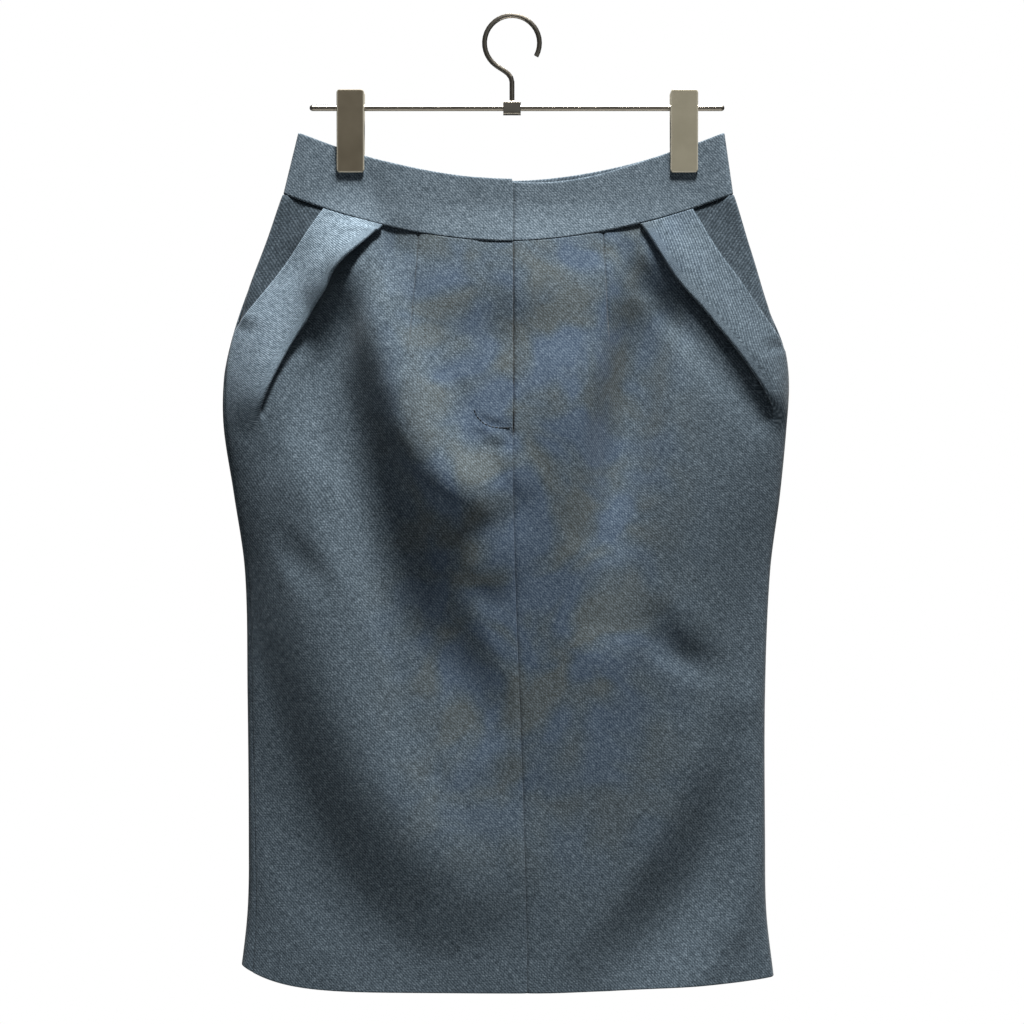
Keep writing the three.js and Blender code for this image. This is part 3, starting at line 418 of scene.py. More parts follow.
def cloth_mesh(name, grid, uv, thickness, material, rim, end_outs):
    """rim: whether the top, bottom, first and last edges are rounded."""
    rows, columns = grid.shape[:2]
    down = np.gradient(grid, axis=0)
    along = np.gradient(grid, axis=1)
    normal = np.cross(down, along)
    # The first and last columns are cut square to the skirt's own surface.
    sign = np.sign((normal[:, 1] * end_outs[:, 1]).sum(1, keepdims=True))
    normal[:, 0] = end_outs[:, 0] * sign
    normal[:, -1] = end_outs[:, -1] * sign
    normal /= np.maximum(np.linalg.norm(normal, axis=2, keepdims=True), 1e-12)
    half = np.full((rows, columns), thickness / 2)
    rim_depth = thickness * RIM["depth"]
    steps_down = np.linalg.norm(np.diff(grid, axis=0), axis=2)
    steps_along = np.linalg.norm(np.diff(grid, axis=1), axis=2)
    zero_row, zero_column = np.zeros((1, columns)), np.zeros((rows, 1))
    from_top = np.vstack([zero_row, np.cumsum(steps_down, 0)])
    from_bottom = np.vstack([np.cumsum(steps_down[::-1], 0)[::-1], zero_row])
    from_first = np.hstack([zero_column, np.cumsum(steps_along, 1)])
    from_last = np.hstack([np.cumsum(steps_along[:, ::-1], 1)[:, ::-1], zero_column])
    for wanted, distance in zip(rim, (from_top, from_bottom, from_first, from_last)):
        if wanted:
            t = np.clip(1 - distance / rim_depth, 0, 1)
            half = half * np.sqrt(1 - RIM["thinned"] * t**2)
    outer = grid + normal * half[..., None]
    inner = grid - normal * half[..., None]
    count = rows * columns
    index = np.arange(count).reshape(rows, columns)
    a, b, c, d = index[:-1, :-1], index[1:, :-1], index[1:, 1:], index[:-1, 1:]
    front = np.stack([a, b, c, d], -1).reshape(-1, 4)
    back = np.stack([a, d, c, b], -1).reshape(-1, 4) + count
    # The rims join the two faces: down the first column, up the last, and so on.
    borders = (index[::-1, 0], index[:, -1], index[0], index[-1, ::-1])
    rims = [np.stack([b[:-1], b[1:], b[1:] + count, b[:-1] + count], -1) for b in borders]
    faces = np.concatenate([front, back] + rims)
    vertices = np.concatenate([outer.reshape(-1, 3), inner.reshape(-1, 3)]) * MM
    mesh = bpy.data.meshes.new(name)
    mesh.from_pydata(vertices.tolist(), [], faces.tolist())
    layer = mesh.uv_layers.new(name="weave")
    flat = np.concatenate([uv.reshape(-1, 2), uv.reshape(-1, 2)]) * MM
    layer.data.foreach_set("uv", flat[faces.reshape(-1)].reshape(-1))
    mesh.polygons.foreach_set("use_smooth", np.ones(len(faces), bool))
    piece = bpy.data.objects.new(name, mesh)
    bpy.context.scene.collection.objects.link(piece)
    face_out(piece)
    mesh.materials.append(material)
    return piece


def face_out(piece):
    """Turns all faces of a closed piece outwards."""
    shell = bmesh.new()
    shell.from_mesh(piece.data)
    if shell.calc_volume(signed=True) < 0:
        bmesh.ops.reverse_faces(shell, faces=shell.faces)
    shell.to_mesh(piece.data)
    shell.free()


# %% [markdown]
# ## The finish of the suiting
# The cloth is a wool suiting: a twill, woven from yarns that were spun of light and dark fibres
# together (melange). The eye reads three things: diagonal ribs, short light and dark specks along
# both threads, and a very soft sheen. The real ribs are about 1.2 mm apart. They are drawn
# 1.9 mm apart here, because finer ones would vanish or shimmer at this distance. The pattern reads
# the sheet's UV map, so that it turns with the cloth where a pleat is folded.


# %% Helpers for materials
def linear(hex_colour):
    """An sRGB hex colour as the linear colour that shaders use."""
    parts = [int(hex_colour[i : i + 2], 16) / 255 for i in (1, 3, 5)]
    return (*[c / 12.92 if c <= 0.04045 else ((c + 0.055) / 1.055) ** 2.4 for c in parts], 1)


def node(material, kind, links=None, **settings):
    """Adds a node, sets its settings and its plain inputs, and links the rest."""
    made = material.node_tree.nodes.new(kind)
    for name, value in settings.items():
        setattr(made, name, value)
    for socket, value in (links or {}).items():
        target = made.inputs[socket]
        if isinstance(value, bpy.types.NodeSocket):
            material.node_tree.links.new(value, target)
        else:
            target.default_value = value
    return made


def new_material(name):
    material = bpy.data.materials.new(name)
    material.use_nodes = True
    material.node_tree.nodes.clear()
    return material


def finish_material(material, sockets):
    shader = node(material, "ShaderNodeBsdfPrincipled", sockets)
    node(material, "ShaderNodeOutputMaterial", {"Surface": shader.outputs["BSDF"]})
    return material


def calc(material, operation, a, b=0.0, c=0.0):
    """One step of arithmetic. MULTIPLY_ADD gives a times b plus c."""
    return node(material, "ShaderNodeMath", {0: a, 1: b, 2: c}, operation=operation).outputs[0]


def stretch(material, value, low, high, to_low=0.0, to_high=1.0, step="LINEAR"):
    """A value between low and high, brought to lie between two others."""
    ends = {"From Min": low, "From Max": high, "To Min": to_low, "To Max": to_high}
    links = {"Value": value, **ends}
    return node(material, "ShaderNodeMapRange", links, interpolation_type=step).outputs[0]


def noise(material, place, scale, detail=2.0, roughness=0.5):
    links = {"Vector": place, "Scale": scale, "Detail": detail, "Roughness": roughness}
    return node(material, "ShaderNodeTexNoise", links)


def blend(material, share, first, second):
    links = {"Factor": share, 6: first, 7: second}
    return node(material, "ShaderNodeMix", links, data_type="RGBA").outputs[2]


def relief(material, height, strength, depth_mm):
    links = {"Height": height, "Strength": strength, "Distance": depth_mm * MM}
    return node(material, "ShaderNodeBump", links).outputs[0]


def coordinates(material, kind):
    return node(material, "ShaderNodeTexCoord").outputs[kind]


# %% Melange wool twill
RIB_MM = 1.9
SPECK_MM = 0.52
RIB_ANGLE = -45
SPECK_LENGTH = 5
RIB_SHARE = {"plain": 0.26, "turned": 0.10}
CLOUD_SHARE = 0.16
YARN_RANGE = (0.92, 1.58)
TONE_LIGHT_AND_SHADE = 0.55


def wool_twill(name, dark, middle, light, tint=0.0):
    material = new_material(name)
    uv = coordinates(material, "UV")
    place = coordinates(material, "Object")
    # The ribs run down to the right. A wave has one rib per 2 pi / 20 of its scale.
    turn = (0, 0, math.radians(RIB_ANGLE))
    turned = node(material, "ShaderNodeMapping", {"Vector": uv, "Rotation": turn})
    rib_look = {"Distortion": 0.9, "Detail": 2.0, "Detail Scale": 1.6}
    rib = node(
        material,
        "ShaderNodeTexWave",
        {"Vector": turned.outputs[0], "Scale": 2 * math.pi / 20 / (RIB_MM * MM), **rib_look},
        bands_direction="X",
    )
    # Specks: noise that is stretched along one thread, and then along the other.
    threads = []
    for scale in ((1 / SPECK_LENGTH, 1, 1), (1, 1 / SPECK_LENGTH, 1)):
        drawn = node(material, "ShaderNodeMapping", {"Vector": uv, "Scale": scale}).outputs[0]
        threads.append(noise(material, drawn, 1 / (2 * SPECK_MM * MM), 3.0, 0.7).outputs[0])
    specks = calc(material, "ADD", *threads)
    # The tone is above 0 on a pleat's turned side, partly the turned cloth's own lighter look and
    # partly painted light, and below 0 in the gap beside a lapped edge, where it is painted shade.
    tone = node(material, "ShaderNodeAttribute", attribute_name="tone").outputs["Fac"]
    rib_share = calc(material, "MULTIPLY_ADD", tone, RIB_SHARE["turned"], RIB_SHARE["plain"])
    ribbed = calc(material, "MULTIPLY_ADD", rib.outputs["Fac"], rib_share, specks)
    cloud = noise(material, uv, 90.0).outputs[0]
    pattern = calc(material, "MULTIPLY_ADD", cloud, CLOUD_SHARE, ribbed)
    shade = stretch(material, pattern, *YARN_RANGE)
    yarn = node(material, "ShaderNodeValToRGB", {"Fac": shade})
    stops = yarn.color_ramp.elements
    stops[0].color = linear(dark)
    stops[1].color = linear(light)
    stops.new(0.5).color = linear(middle)
    # Painted light and shade: the tone raises or lowers the colour's value.
    value = calc(material, "MULTIPLY_ADD", tone, TONE_LIGHT_AND_SHADE, 1.0)
    lifted = {"Value": value, "Color": yarn.outputs["Color"]}
    colour = node(material, "ShaderNodeHueSaturation", lifted).outputs[0]
    if tint:
        colour = add_tint(material, place, colour, tint)
    return finish_material(
        material,
        {
            "Base Color": colour,
            "Roughness": 0.86,
            "Specular IOR Level": 0.22,
            "Sheen Weight": 0.12,
            "Sheen Roughness": 0.45,
            "Normal": relief(material, pattern, 0.5, 0.25),
        },
    )


# Where the tint fades in and out, in metres: x on the left, x on the right, and z at the foot.
TINT_FADES = (("X", -0.13, -0.04), ("X", 0.17, 0.06), ("Z", -0.74, -0.52))
TINTS = (("#3f5f92", 0.50, 0.62), ("#6a6238", 0.50, 0.38))


def add_tint(material, place, colour, amount):
    """Soft waves of blue and olive down the middle, where the yarns' own hues show most."""
    warp = noise(material, place, 9.0).outputs["Color"]
    bend = {0: warp, 1: (0.10, 0.10, 0.10)}
    bent = node(material, "ShaderNodeVectorMath", bend, operation="MULTIPLY").outputs[0]
    moved = node(material, "ShaderNodeVectorMath", {0: place, 1: bent}, operation="ADD").outputs[0]
    waves = noise(material, moved, 26.0, 1.5).outputs[0]
    split = node(material, "ShaderNodeSeparateXYZ", {"Vector": place}).outputs
    left, right, foot = [
        stretch(material, split[axis], low, high, step="SMOOTHSTEP")
        for axis, low, high in TINT_FADES
    ]
    inside = calc(material, "MULTIPLY", calc(material, "MULTIPLY", left, right), foot)
    for hue, low, high in TINTS:
        share = stretch(material, waves, low, high, 0.0, amount)
        colour = blend(material, calc(material, "MULTIPLY", share, inside), colour, linear(hue))
    return colour


wool = wool_twill("melange_wool_twill", "#29343d", "#4c5a65", "#7f8e9a", tint=0.15)
# The waistband's cloth is a lighter copy, partly for its cross grain and partly as painted light.
wool_band = wool_twill("melange_wool_twill_waistband", "#37444e", "#5f6e7a", "#94a3af")
wool_back = wool_twill("melange_wool_twill_back", "#29343d", "#4c5a65", "#7f8e9a")
# The hip pieces' cloth is a darker copy, as painted shade.
wool_hip = wool_twill("melange_wool_twill_hip_piece", "#242e36", "#414e58", "#707e8a")
print("wool ribs", RIB_MM, "mm apart, specks about", SPECK_MM, "mm")

# %% [markdown]
# ## The front panels
# Each front is one piece of cloth. From the pocket's open mouth it runs towards the middle, turns
# under itself at the pleat's edge, goes back beneath, turns again, and then lies flat up to the
# fly. So one row of the sheet's grid makes a flat Z, which opens out at the hip. The folded edge
# stands a little off the cloth below it, and that gives the strong shadow along the pleat.


# %% Columns of a front panel
TURN_POINTS = 11
NOSE = 1.3
SEAM_PUFF = {"height": 0.9, "gone": 0.035}
# Painted light and shade on the turned bands: partly the turned cloth's own lighter look, but the
# left band is made lighter than the right because the lamp stands to the right, and the right band
# darkens downwards as painted shade.
BAND_TURNED_LIGHT_AND_SHADE = {"drop": [160, 310], "left": [1.3, 1.1], "right": [0.6, -0.2]}
# GAP's dark paints shade into the gap beside a lapped edge; its depth is the real groove.
GAP = {"at": 0.35, "reach": 0.8, "depth": 2.2, "dark": 1.5}
BESIDE_EDGE = np.array([-2.6, -1.6, -1.1, -0.7, -0.35, 0, 0.6, 1.8])
BELOW_PLEAT = {"within": 160, "fold": 0.3, "dart": 0.66, "step": 0.0085}
DART_ROOM = {"fold": 16, "fly": 32}
DART_FADE = 40
LAP_RISE = (3, 20)
UNDER_LAP = (45, 12)
SEAM_DIP = {"front": 1.8, "back": 1.3, "reach": 1.6}
WEAVE_SLANT = -0.58
EDGE_CROWD = 1.7


def mix(a, b, t):
    return a + (b - a) * t


def beside_edge(gap):
    """1 in the narrow gap beside an edge that lies on top, and 0 away from it."""
    return np.exp(-np.abs(gap - GAP["at"]) / GAP["reach"])


def spread(start, end, count, height=None, crowd=1.0):
    s = start + (end - start) * np.linspace(0, 1, count + 1) ** crowd
    return np.stack([s, np.zeros_like(s) if height is None else height(s)], -1)


def side_seam(ring, side):
    is_left = side == "left"
    edge = ring.length_at(0 if is_left else math.pi)
    left, right = ring.place(0.0, ring.v)[:2]
    wrap = max(float(read(SIDE_WRAP, side, ring.drop_at(edge))), 0)
    turn = math.acos(1 - 2 * wrap / (right - left))
    return edge, (1 if is_left else -1), ring.length_at(turn if is_left else math.pi - turn)


def pocket_lines(ring, side):
    edge, to_front, seam = side_seam(ring, side)
    mouth = ring.crossing(lambda d: read_on(MOUTHS[side], "x", d))
    mouth_drop = ring.drop_at(mouth)
    has_mouth = (mouth - seam) * to_front > 0.3 and mouth_drop < MOUTHS[side]["drop"][-1]
    return to_front, seam, (mouth if has_mouth else seam), has_mouth, mouth_drop


def fly_x(drop):
    return FLY["x"] + (FLY["hem_x"] - FLY["x"]) * float(smooth_step(drop, FLY["end"], HEM["front"]))


def dart_x(dart):
    waist = WAIST_SEAM["drop"]
    run, fall = dart["end_x"] - dart["top"], dart["end"] - waist
    return lambda drop: dart["top"] + run * (drop - waist) / fall


def dart_columns(dart, s, drop):
    """A dart is a stitched wedge: its line sinks into the cloth, and fades at its point."""
    deep = dart["depth"] * (1 - float(smooth_step(drop, dart["end"] - DART_FADE, dart["end"])))
    offsets = np.array([-6, -3.2, -1.7, -0.8, -0.3, 0, 0.3, 0.8, 1.7, 3.2, 6])
    even = np.linspace(-12, 12, 11)
    gone = float(smooth_step(drop, dart["end"], dart["end"] + DART_FADE))
    offsets = mix(offsets, even, gone)
    return np.stack([s + offsets, -deep * np.exp(-np.abs(offsets) / DART_WIDTH)], -1)


def lap_height(layer, gap, overlap):
    """How far a lapping edge stands up, and falls again beyond the overlap."""
    return layer * (1 - smooth_step(gap, overlap + LAP_RISE[0], overlap + LAP_RISE[1]))


def front_columns(ring, side):
    to_front, seam, start, has_mouth, mouth_drop = pocket_lines(ring, side)
    turned = TURNED_EDGES[side]
    first, last = turned["drop"][0], turned["drop"][-1]
    middle = ring.crossing(fly_x)
    fold_line = ring.crossing(lambda d: float(read(turned, "x", d)))
    fold_drop = ring.drop_at(fold_line)
    below = float(smooth_step(fold_drop, last, last + BELOW_PLEAT["within"]))
    far = abs(middle - start)
    fold = mix(abs(fold_line - start), far * BELOW_PLEAT["fold"], below)
    closed = 1 - float(smooth_step(fold_drop, PLEAT["opens"], PLEAT["ends"]))
    settled = float(smooth_step(fold_drop, first, first + PLEAT["settled"]))
    layer = mix(LAYER, PLEAT["open_layer"], settled)
    lift = max(float(read(LIFT, side, fold_drop)), 0)
    mouth_end = MOUTHS[side]["drop"][-1]
    mouth_closed = float(smooth_step(mouth_drop, mouth_end - MOUTH["closes"], mouth_end))
    outer_level = MOUTH["level"] * (1 - mouth_closed) if has_mouth else 0
    depth = mix(PLEAT["depth"], PLEAT["end_depth"], float(smooth_step(fold_drop, first, last)))
    top = 2 * layer + lift
    nose, turn = min(NOSE, (top - layer) / 2), layer / 2
    inner = fold - depth
    angles = np.pi * np.linspace(0, 1, TURN_POINTS)
    over, up = np.sin(angles), np.cos(angles)
    nose_part = np.stack([fold - nose + nose * over, top - nose + nose * up], -1)
    turn_part = np.stack([inner + turn - turn * over, turn * (1 + up)], -1)
    between = spread(nose_part[-1, 0], turn_part[0, 0], 5)[1:-1]
    between[:, 1] = np.linspace(nose_part[-1, 1], layer, 6)[1:-1]
    folded = np.concatenate([nose_part, between, turn_part])
    step = mix(1.0, BELOW_PLEAT["step"] * far, below)
    opened = fold - len(folded) / 3 * step + step * np.arange(len(folded))
    folded[:, 0] = mix(opened, folded[:, 0], closed)
    folded[:, 1] *= closed
    band_end = folded[0, 0]

    def band_height(s):
        return mix(outer_level, closed * top, smooth_step((s - EDGE) / (band_end - EDGE), 0, 0.85))

    band = spread(EDGE, band_end, 26, band_height, mix(1.8, 1, closed))[:-1]
    dart = DARTS[f"front_{side}"]
    dart_line = abs(ring.crossing(dart_x(dart)) - start)
    dart_at = mix(dart_line, far * BELOW_PLEAT["dart"], below)
    dart_at = min(max(dart_at, folded[-1, 0] + DART_ROOM["fold"]), far - DART_ROOM["fly"])
    darts = dart_columns(dart, dart_at, ring.drop_at(start + to_front * dart_at))
    middle_drop = ring.drop_at(middle)
    fly_on = 1 - float(smooth_step(middle_drop, FLY["end"] - 2, FLY["end"] + 6))
    is_over = side == "left"
    run_out = float(smooth_step(middle_drop, FLY["end"] - UNDER_LAP[0], FLY["end"] - UNDER_LAP[1]))
    under = 0 if is_over else FLY["overlap"] * (1 - run_out)
    end = far + under - (0 if under > 0 else EDGE)

    def middle_height(s):
        gap = far - s
        lapped = lap_height(LAYER * fly_on, gap, FLY["overlap"]) if is_over else 0
        seam_dip = SEAM_DIP["front"] * np.exp(-np.abs(gap) / SEAM_DIP["reach"]) * (1 - fly_on)
        return lapped - seam_dip - GAP["depth"] * beside_edge(gap) * fly_on * (not is_over)

    plain = far - FLY["overlap"] - LAP_RISE[0]
    puff = SEAM_PUFF["height"] * (1 - float(smooth_step(ring.v, 0, SEAM_PUFF["gone"])))
    to_dart = spread(folded[-1, 0], darts[0, 0], 18)[1:-1]
    to_flap = spread(darts[-1, 0], plain, 12, middle_height)[1:]
    to_fly = mix(plain, end, 1 - (1 - np.linspace(0, 1, 25)) ** EDGE_CROWD)[1:]
    if not is_over:
        to_fly[8:16] = mix(to_fly[8:16], far + BESIDE_EDGE, under / FLY["overlap"])
        to_fly.sort()
    to_fly = np.stack([to_fly, middle_height(to_fly)], -1)
    columns = np.concatenate([band, folded, to_dart, darts, to_flap, to_fly])
    columns[:, 1] += puff * smooth_step(columns[:, 0], folded[-1, 0] + 2, folded[-1, 0] + 12)
    # The weave's own place across the cloth, from the fly outwards. On the turned band it slants.
    on_band = np.clip((fold - columns[:, 0]) / 6, 0, 1)
    slant = WEAVE_SLANT * max(last - fold_drop, 0) * on_band
    weave = (far - columns[:, 0] + slant) * (-1 if side == "left" else 1)
    is_turned = np.arange(len(columns)) < len(band) + TURN_POINTS // 2
    # Painted light on the turned band, partly the turned cloth's own lighter look.
    tone = read(BAND_TURNED_LIGHT_AND_SHADE, side, fold_drop) * closed * is_turned
    # Painted shade in the gap beside the lapped fly edge.
    tone -= GAP["dark"] * beside_edge(far - columns[:, 0]) * fly_on * (not is_over)
    return start + to_front * columns[:, 0], columns[:, 1], weave, tone


SIDE_DIP = {"hip": 0.6, "back": 0.8, "reach": 1.5}


def yoke_columns(ring, side):
    to_front, seam, start, has_mouth, mouth_drop = pocket_lines(ring, side)
    end = MOUTHS[side]["drop"][-1]
    low = -YOKE["inwards"] * float(smooth_step(mouth_drop, end - 34, end - 10))
    near_band = 1 - float(smooth_step(ring.v, 0, TUCK["height"]))
    low += (TUCK["depth"] - YOKE["below_band"]) * near_band
    inset = EDGE + YOKE["inwards"] * float(smooth_step(mouth_drop, end - 12, end))
    s = spread(seam + to_front * inset, start + to_front * YOKE["under"], 22, crowd=1.5)[:, 0]
    height = low - SIDE_DIP["hip"] * np.exp(-np.abs(s - s[0]) / SIDE_DIP["reach"])
    return s, height, (s - s[0]) * to_front, 0 * s


def back_columns(ring, side):
    edge, to_front, seam = side_seam(ring, side)
    wrap = abs(seam - edge) - EDGE
    middle = ring.length_at(-math.pi / 2 if side == "left" else 1.5 * math.pi)
    far = abs(middle - edge)
    dart = DARTS[f"back_{side}"]
    dart_line = abs(ring.crossing(dart_x(dart), front=False) - edge)
    dart_at = mix(dart_line, far * 0.6, float(smooth_step(ring.v, 0.25, 0.5)))
    drop = ring.drop_at(middle)
    is_over = side == "right"
    widened = float(smooth_step(drop, VENT["top"] + 6, VENT["top"] + 34))
    under = 0 if is_over else VENT["overlap"] * widened
    end = far + under - (0 if under > 0 else EDGE)
    is_open = float(smooth_step(drop, VENT["top"] - 30, VENT["top"]))

    def height(s):
        gap = far - s
        flap = lap_height(is_over * LAYER * is_open, gap, VENT["overlap"])
        return flap - SEAM_DIP["back"] * np.exp(-np.abs(gap) / SEAM_DIP["reach"]) * (1 - is_open)

    darts = dart_columns(dart, dart_at, ring.drop_at(edge - to_front * dart_at))
    plain = far - VENT["overlap"] - LAP_RISE[0]
    to_dart = spread(-wrap, darts[0, 0], 34, crowd=1.6)[:-1]
    to_dart[:, 1] -= SIDE_DIP["back"] * np.exp(-np.abs(to_dart[:, 0] + wrap) / SIDE_DIP["reach"])
    to_flap = spread(darts[-1, 0], plain, 8, height)[1:]
    to_middle = mix(plain, end, 1 - (1 - np.linspace(0, 1, 21)) ** EDGE_CROWD)[1:]
    to_middle = np.stack([to_middle, height(to_middle)], -1)
    columns = np.concatenate([to_dart, darts, to_flap, to_middle])
    s, height = columns[:, 0], columns[:, 1]
    return edge - to_front * s, height, (far - s) * to_front, 0 * s


# %% Make a panel of the skirt or the waistband
# On the waistband, and down to this share of the skirt, heights are measured level.
LEVEL_UP_TO = 0.008


def sheet_from_rings(name, rings, columns_of, thickness, material, rim=(1, 1, 1, 1)):
    grid, uv, outs, tones = [], [], [], []
    for number, ring in enumerate(rings):
        s, height, weave, tone = columns_of(ring)
        turns = ring.turn_at(s)
        out = outward(ring.place, turns, ring.v)
        if ring.place is band_place or ring.v < LEVEL_UP_TO:
            out[:, 2] = 0
            out /= np.linalg.norm(out, axis=-1, keepdims=True)
        points = point_on(ring.place, turns, ring.v)
        grid.append(points + out * height[:, None])
        outs.append(out)
        uv.append(np.stack([weave, points[:, 2]], -1))
        tones.append(tone)
    grid, uv, outs = np.array(grid), np.array(uv), np.array(outs)
    piece = cloth_mesh(name, grid, uv, thickness, material, rim, outs)
    attribute = piece.data.attributes.new("tone", "FLOAT", "POINT")
    attribute.data.foreach_set("value", np.tile(np.array(tones).reshape(-1), 2))
    print(name, len(piece.data.polygons), "faces")
    return piece, grid


def declare_sheet(piece, grid, stands_for):
    """Hangs the sheet on the root, hides the solid that it stands for, and prints the flat size
    that it was cut to.
    """
    across = np.linalg.norm(np.diff(grid, axis=1), axis=2).sum(1).max() * MM
    down = np.linalg.norm(np.diff(grid, axis=0), axis=2).sum(0).max() * MM
    a, b = grid[1:, :-1] - grid[:-1, :-1], grid[:-1, 1:] - grid[:-1, :-1]
    area = np.linalg.norm(np.cross(a, b), axis=2).sum() * MM * MM
    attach(piece, "root")
    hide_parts(stands_for)
    print(piece.name, f"cut {across * 1000:.0f} x {down * 1000:.0f} mm, {area:.4f} square metres")


for side in ("left", "right"):
    panel, grid = sheet_from_rings(
        f"front_panel_{side}", skirt_rings, lambda r: front_columns(r, side), CLOTH, wool
    )
    declare_sheet(panel, grid, f"front_{side}")

# %% [markdown]
# ## The hip pieces and the back
# Behind each open pocket lies a hip piece. The back is plain: two panels with a dart each, a seam
# down the middle, and a vent that laps at the hem.

# %% Hip pieces and back panels
for side in ("left", "right"):
    top = WAIST_SEAM["drop"] - WAIST_SEAM["rise"]
    end = (MOUTHS[side]["drop"][-1] + YOKE["past"] - top) / (HEM[side] - top)
    rings = [Ring(skirt_place, v) for v in np.linspace(0.0001, end, 46)]
    piece, grid = sheet_from_rings(
        f"hip_piece_{side}", rings, lambda r: yoke_columns(r, side), CLOTH, wool_hip
    )
    declare_sheet(piece, grid, f"hip_yoke_{side}")
    panel, grid = sheet_from_rings(
        f"back_panel_{side}", skirt_rings, lambda r: back_columns(r, side), CLOTH, wool_back
    )
    declare_sheet(panel, grid, f"back_{side}")

# %% [markdown]
# ## The waistband
# A waistband is two layers with a stiff layer between them, so it is twice as thick as a panel and
# keeps its shape. The left front end laps over the right one.

# %% Waistband
BAND_OVERLAP = 20
BAND_PROUD = 0.5
BAND_ROUND = 16
BAND_RIM = 6
BAND_SIDE = (0, 12)
band_shares = np.concatenate(
    [[0.002, 0.006, 0.012, 0.022], np.linspace(0.04, 0.96, 26), [0.978, 0.988, 0.994, 0.998, 1]]
)
band_rings = [Ring(band_place, v) for v in band_shares]


def band_front_columns(ring, side):
    is_left = side == "left"
    edge = ring.length_at(0 if is_left else math.pi)
    to_front = 1 if is_left else -1
    far = abs(ring.crossing(lambda d: FLY["x"]) - edge)

    def height(s):
        gap = far - s
        over = lap_height(BAND_LAYER, gap, BAND_OVERLAP) if is_left else 0
        proud = BAND_PROUD * smooth_step(s, *BAND_SIDE)
        return over + proud - GAP["depth"] * beside_edge(gap) * (not is_left)

    end = far if is_left else far + BAND_OVERLAP
    start = spread(EDGE, BAND_ROUND, 12, height, 1.8)[:-1]
    flat = spread(BAND_ROUND, end - BAND_RIM, 48, height)[:-1]
    rim = mix(end - BAND_RIM, end, 1 - (1 - np.linspace(0, 1, 11)) ** 2)
    crowded = rim if is_left else np.concatenate([far + BESIDE_EDGE, rim])
    columns = np.concatenate([start, flat, np.stack([crowded, height(crowded)], -1)])
    columns = columns[np.argsort(columns[:, 0])]
    weave = (far - columns[:, 0]) * (-1 if is_left else 1)
    # Painted shade in the gap beside the lapped end of the waistband.
    tone = -GAP["dark"] * beside_edge(far - columns[:, 0]) * (not is_left)
    return edge + to_front * columns[:, 0], columns[:, 1], weave, tone


def band_back_columns(ring):
    right = ring.length_at(math.pi)
    left = ring.length_at(0) + ring.length_at(1.5 * math.pi)
    near = EDGE + (BAND_ROUND - EDGE) * np.linspace(0, 1, 13) ** 1.8
    between = np.linspace(right + BAND_ROUND, left - BAND_ROUND, 71)
    s = np.concatenate([right + near[:-1], between, left - near[::-1][1:]])
    return s, BAND_PROUD * smooth_step(np.minimum(s - right, left - s), *BAND_SIDE), s, 0 * s


for side in ("left", "right"):
    piece, grid = sheet_from_rings(
        f"waistband_front_{side}",
        band_rings,
        lambda r: band_front_columns(r, side),
        BAND_CLOTH,
        wool_band,
    )
    declare_sheet(piece, grid, f"waistband_{side}")
piece, grid = sheet_from_rings(
    "waistband_round_back", band_rings, band_back_columns, BAND_CLOTH, wool_band
)
declare_sheet(piece, grid, "waistband_back")

# %% [markdown]
# ## The stitches at the end of the fly
# A row of stitches holds the fly's inner layers. All that shows of it is its curved end, which
# meets the front seam in a bar of close stitches. Each stitch is a short bead of thread: a small
# sphere, drawn out along the row and laid on the cloth where a ray from the front meets it.

# %% Fly stitches
STITCH = {"long": 2.6, "thick": 0.8, "pitch": 2.9, "proud": 0.15}
FLY_ROW = [(-30, 314), (-27.5, 320), (-22, 325.5), (-15, 328.2), (-8, 328.8), (-2.5, 329)]
BAR = {"from": -10, "to": -2, "drop": 328.9, "count": 9, "long": 1.8, "lean": 0.25}
RAY_START = 0.5


def polyester_thread():
    material = new_material("polyester_thread")
    place = coordinates(material, "Object")
    wave = {"Vector": place, "Scale": 260.0, "Distortion": 1.0}
    twist = node(material, "ShaderNodeTexWave", wave).outputs["Fac"]
    sockets = {
        "Base Color": blend(material, twist, linear("#141b22"), linear("#2c3640")),
        "Roughness": 0.5,
        "Normal": relief(material, twist, 0.3, 0.05),
    }
    return finish_material(material, sockets)


def on_cloth(x, drop):
    """The place where a ray from the front meets the left front panel."""
    start = Vector((x * MM, -RAY_START, -drop * MM))
    hit, place, _, _ = bpy.data.objects["front_panel_left"].ray_cast(start, Vector((0, 1, 0)))
    return place - Vector((0, STITCH["proud"] * MM, 0)) if hit else None


def lay_stitch(middle, along, length):
    bpy.ops.mesh.primitive_uv_sphere_add(segments=8, ring_count=6, radius=0.5, location=middle)
    bead = bpy.context.object
    bead.scale = (length * MM, STITCH["thick"] * MM, STITCH["thick"] * MM)
    bead.rotation_euler = along.to_track_quat("X", "Z").to_euler()
    return bead


bpy.context.view_layer.update()
bpy.ops.object.select_all(action="DESELECT")
steps = np.array(FLY_ROW, float)
reach = np.concatenate([[0], np.cumsum(np.linalg.norm(np.diff(steps, axis=0), axis=1))])
beads = []
for at in np.arange(STITCH["pitch"] / 2, reach[-1], STITCH["pitch"]):
    places = [[float(np.interp(at + d, reach, steps[:, k])) for k in (0, 1)] for d in (-1, 1)]
    ends = [on_cloth(*place) for place in places]
    if all(ends):
        beads.append(lay_stitch((ends[0] + ends[1]) / 2, ends[1] - ends[0], STITCH["long"]))
for x in np.linspace(BAR["from"], BAR["to"], BAR["count"]):
    place = on_cloth(float(x), BAR["drop"])
    if place:
        beads.append(lay_stitch(place, Vector((BAR["lean"], 0, 1)), BAR["long"]))
for bead in beads:
    bead.select_set(True)
bpy.context.view_layer.objects.active = beads[0]
bpy.ops.object.join()
bpy.ops.object.transform_apply(location=True, rotation=True, scale=True)
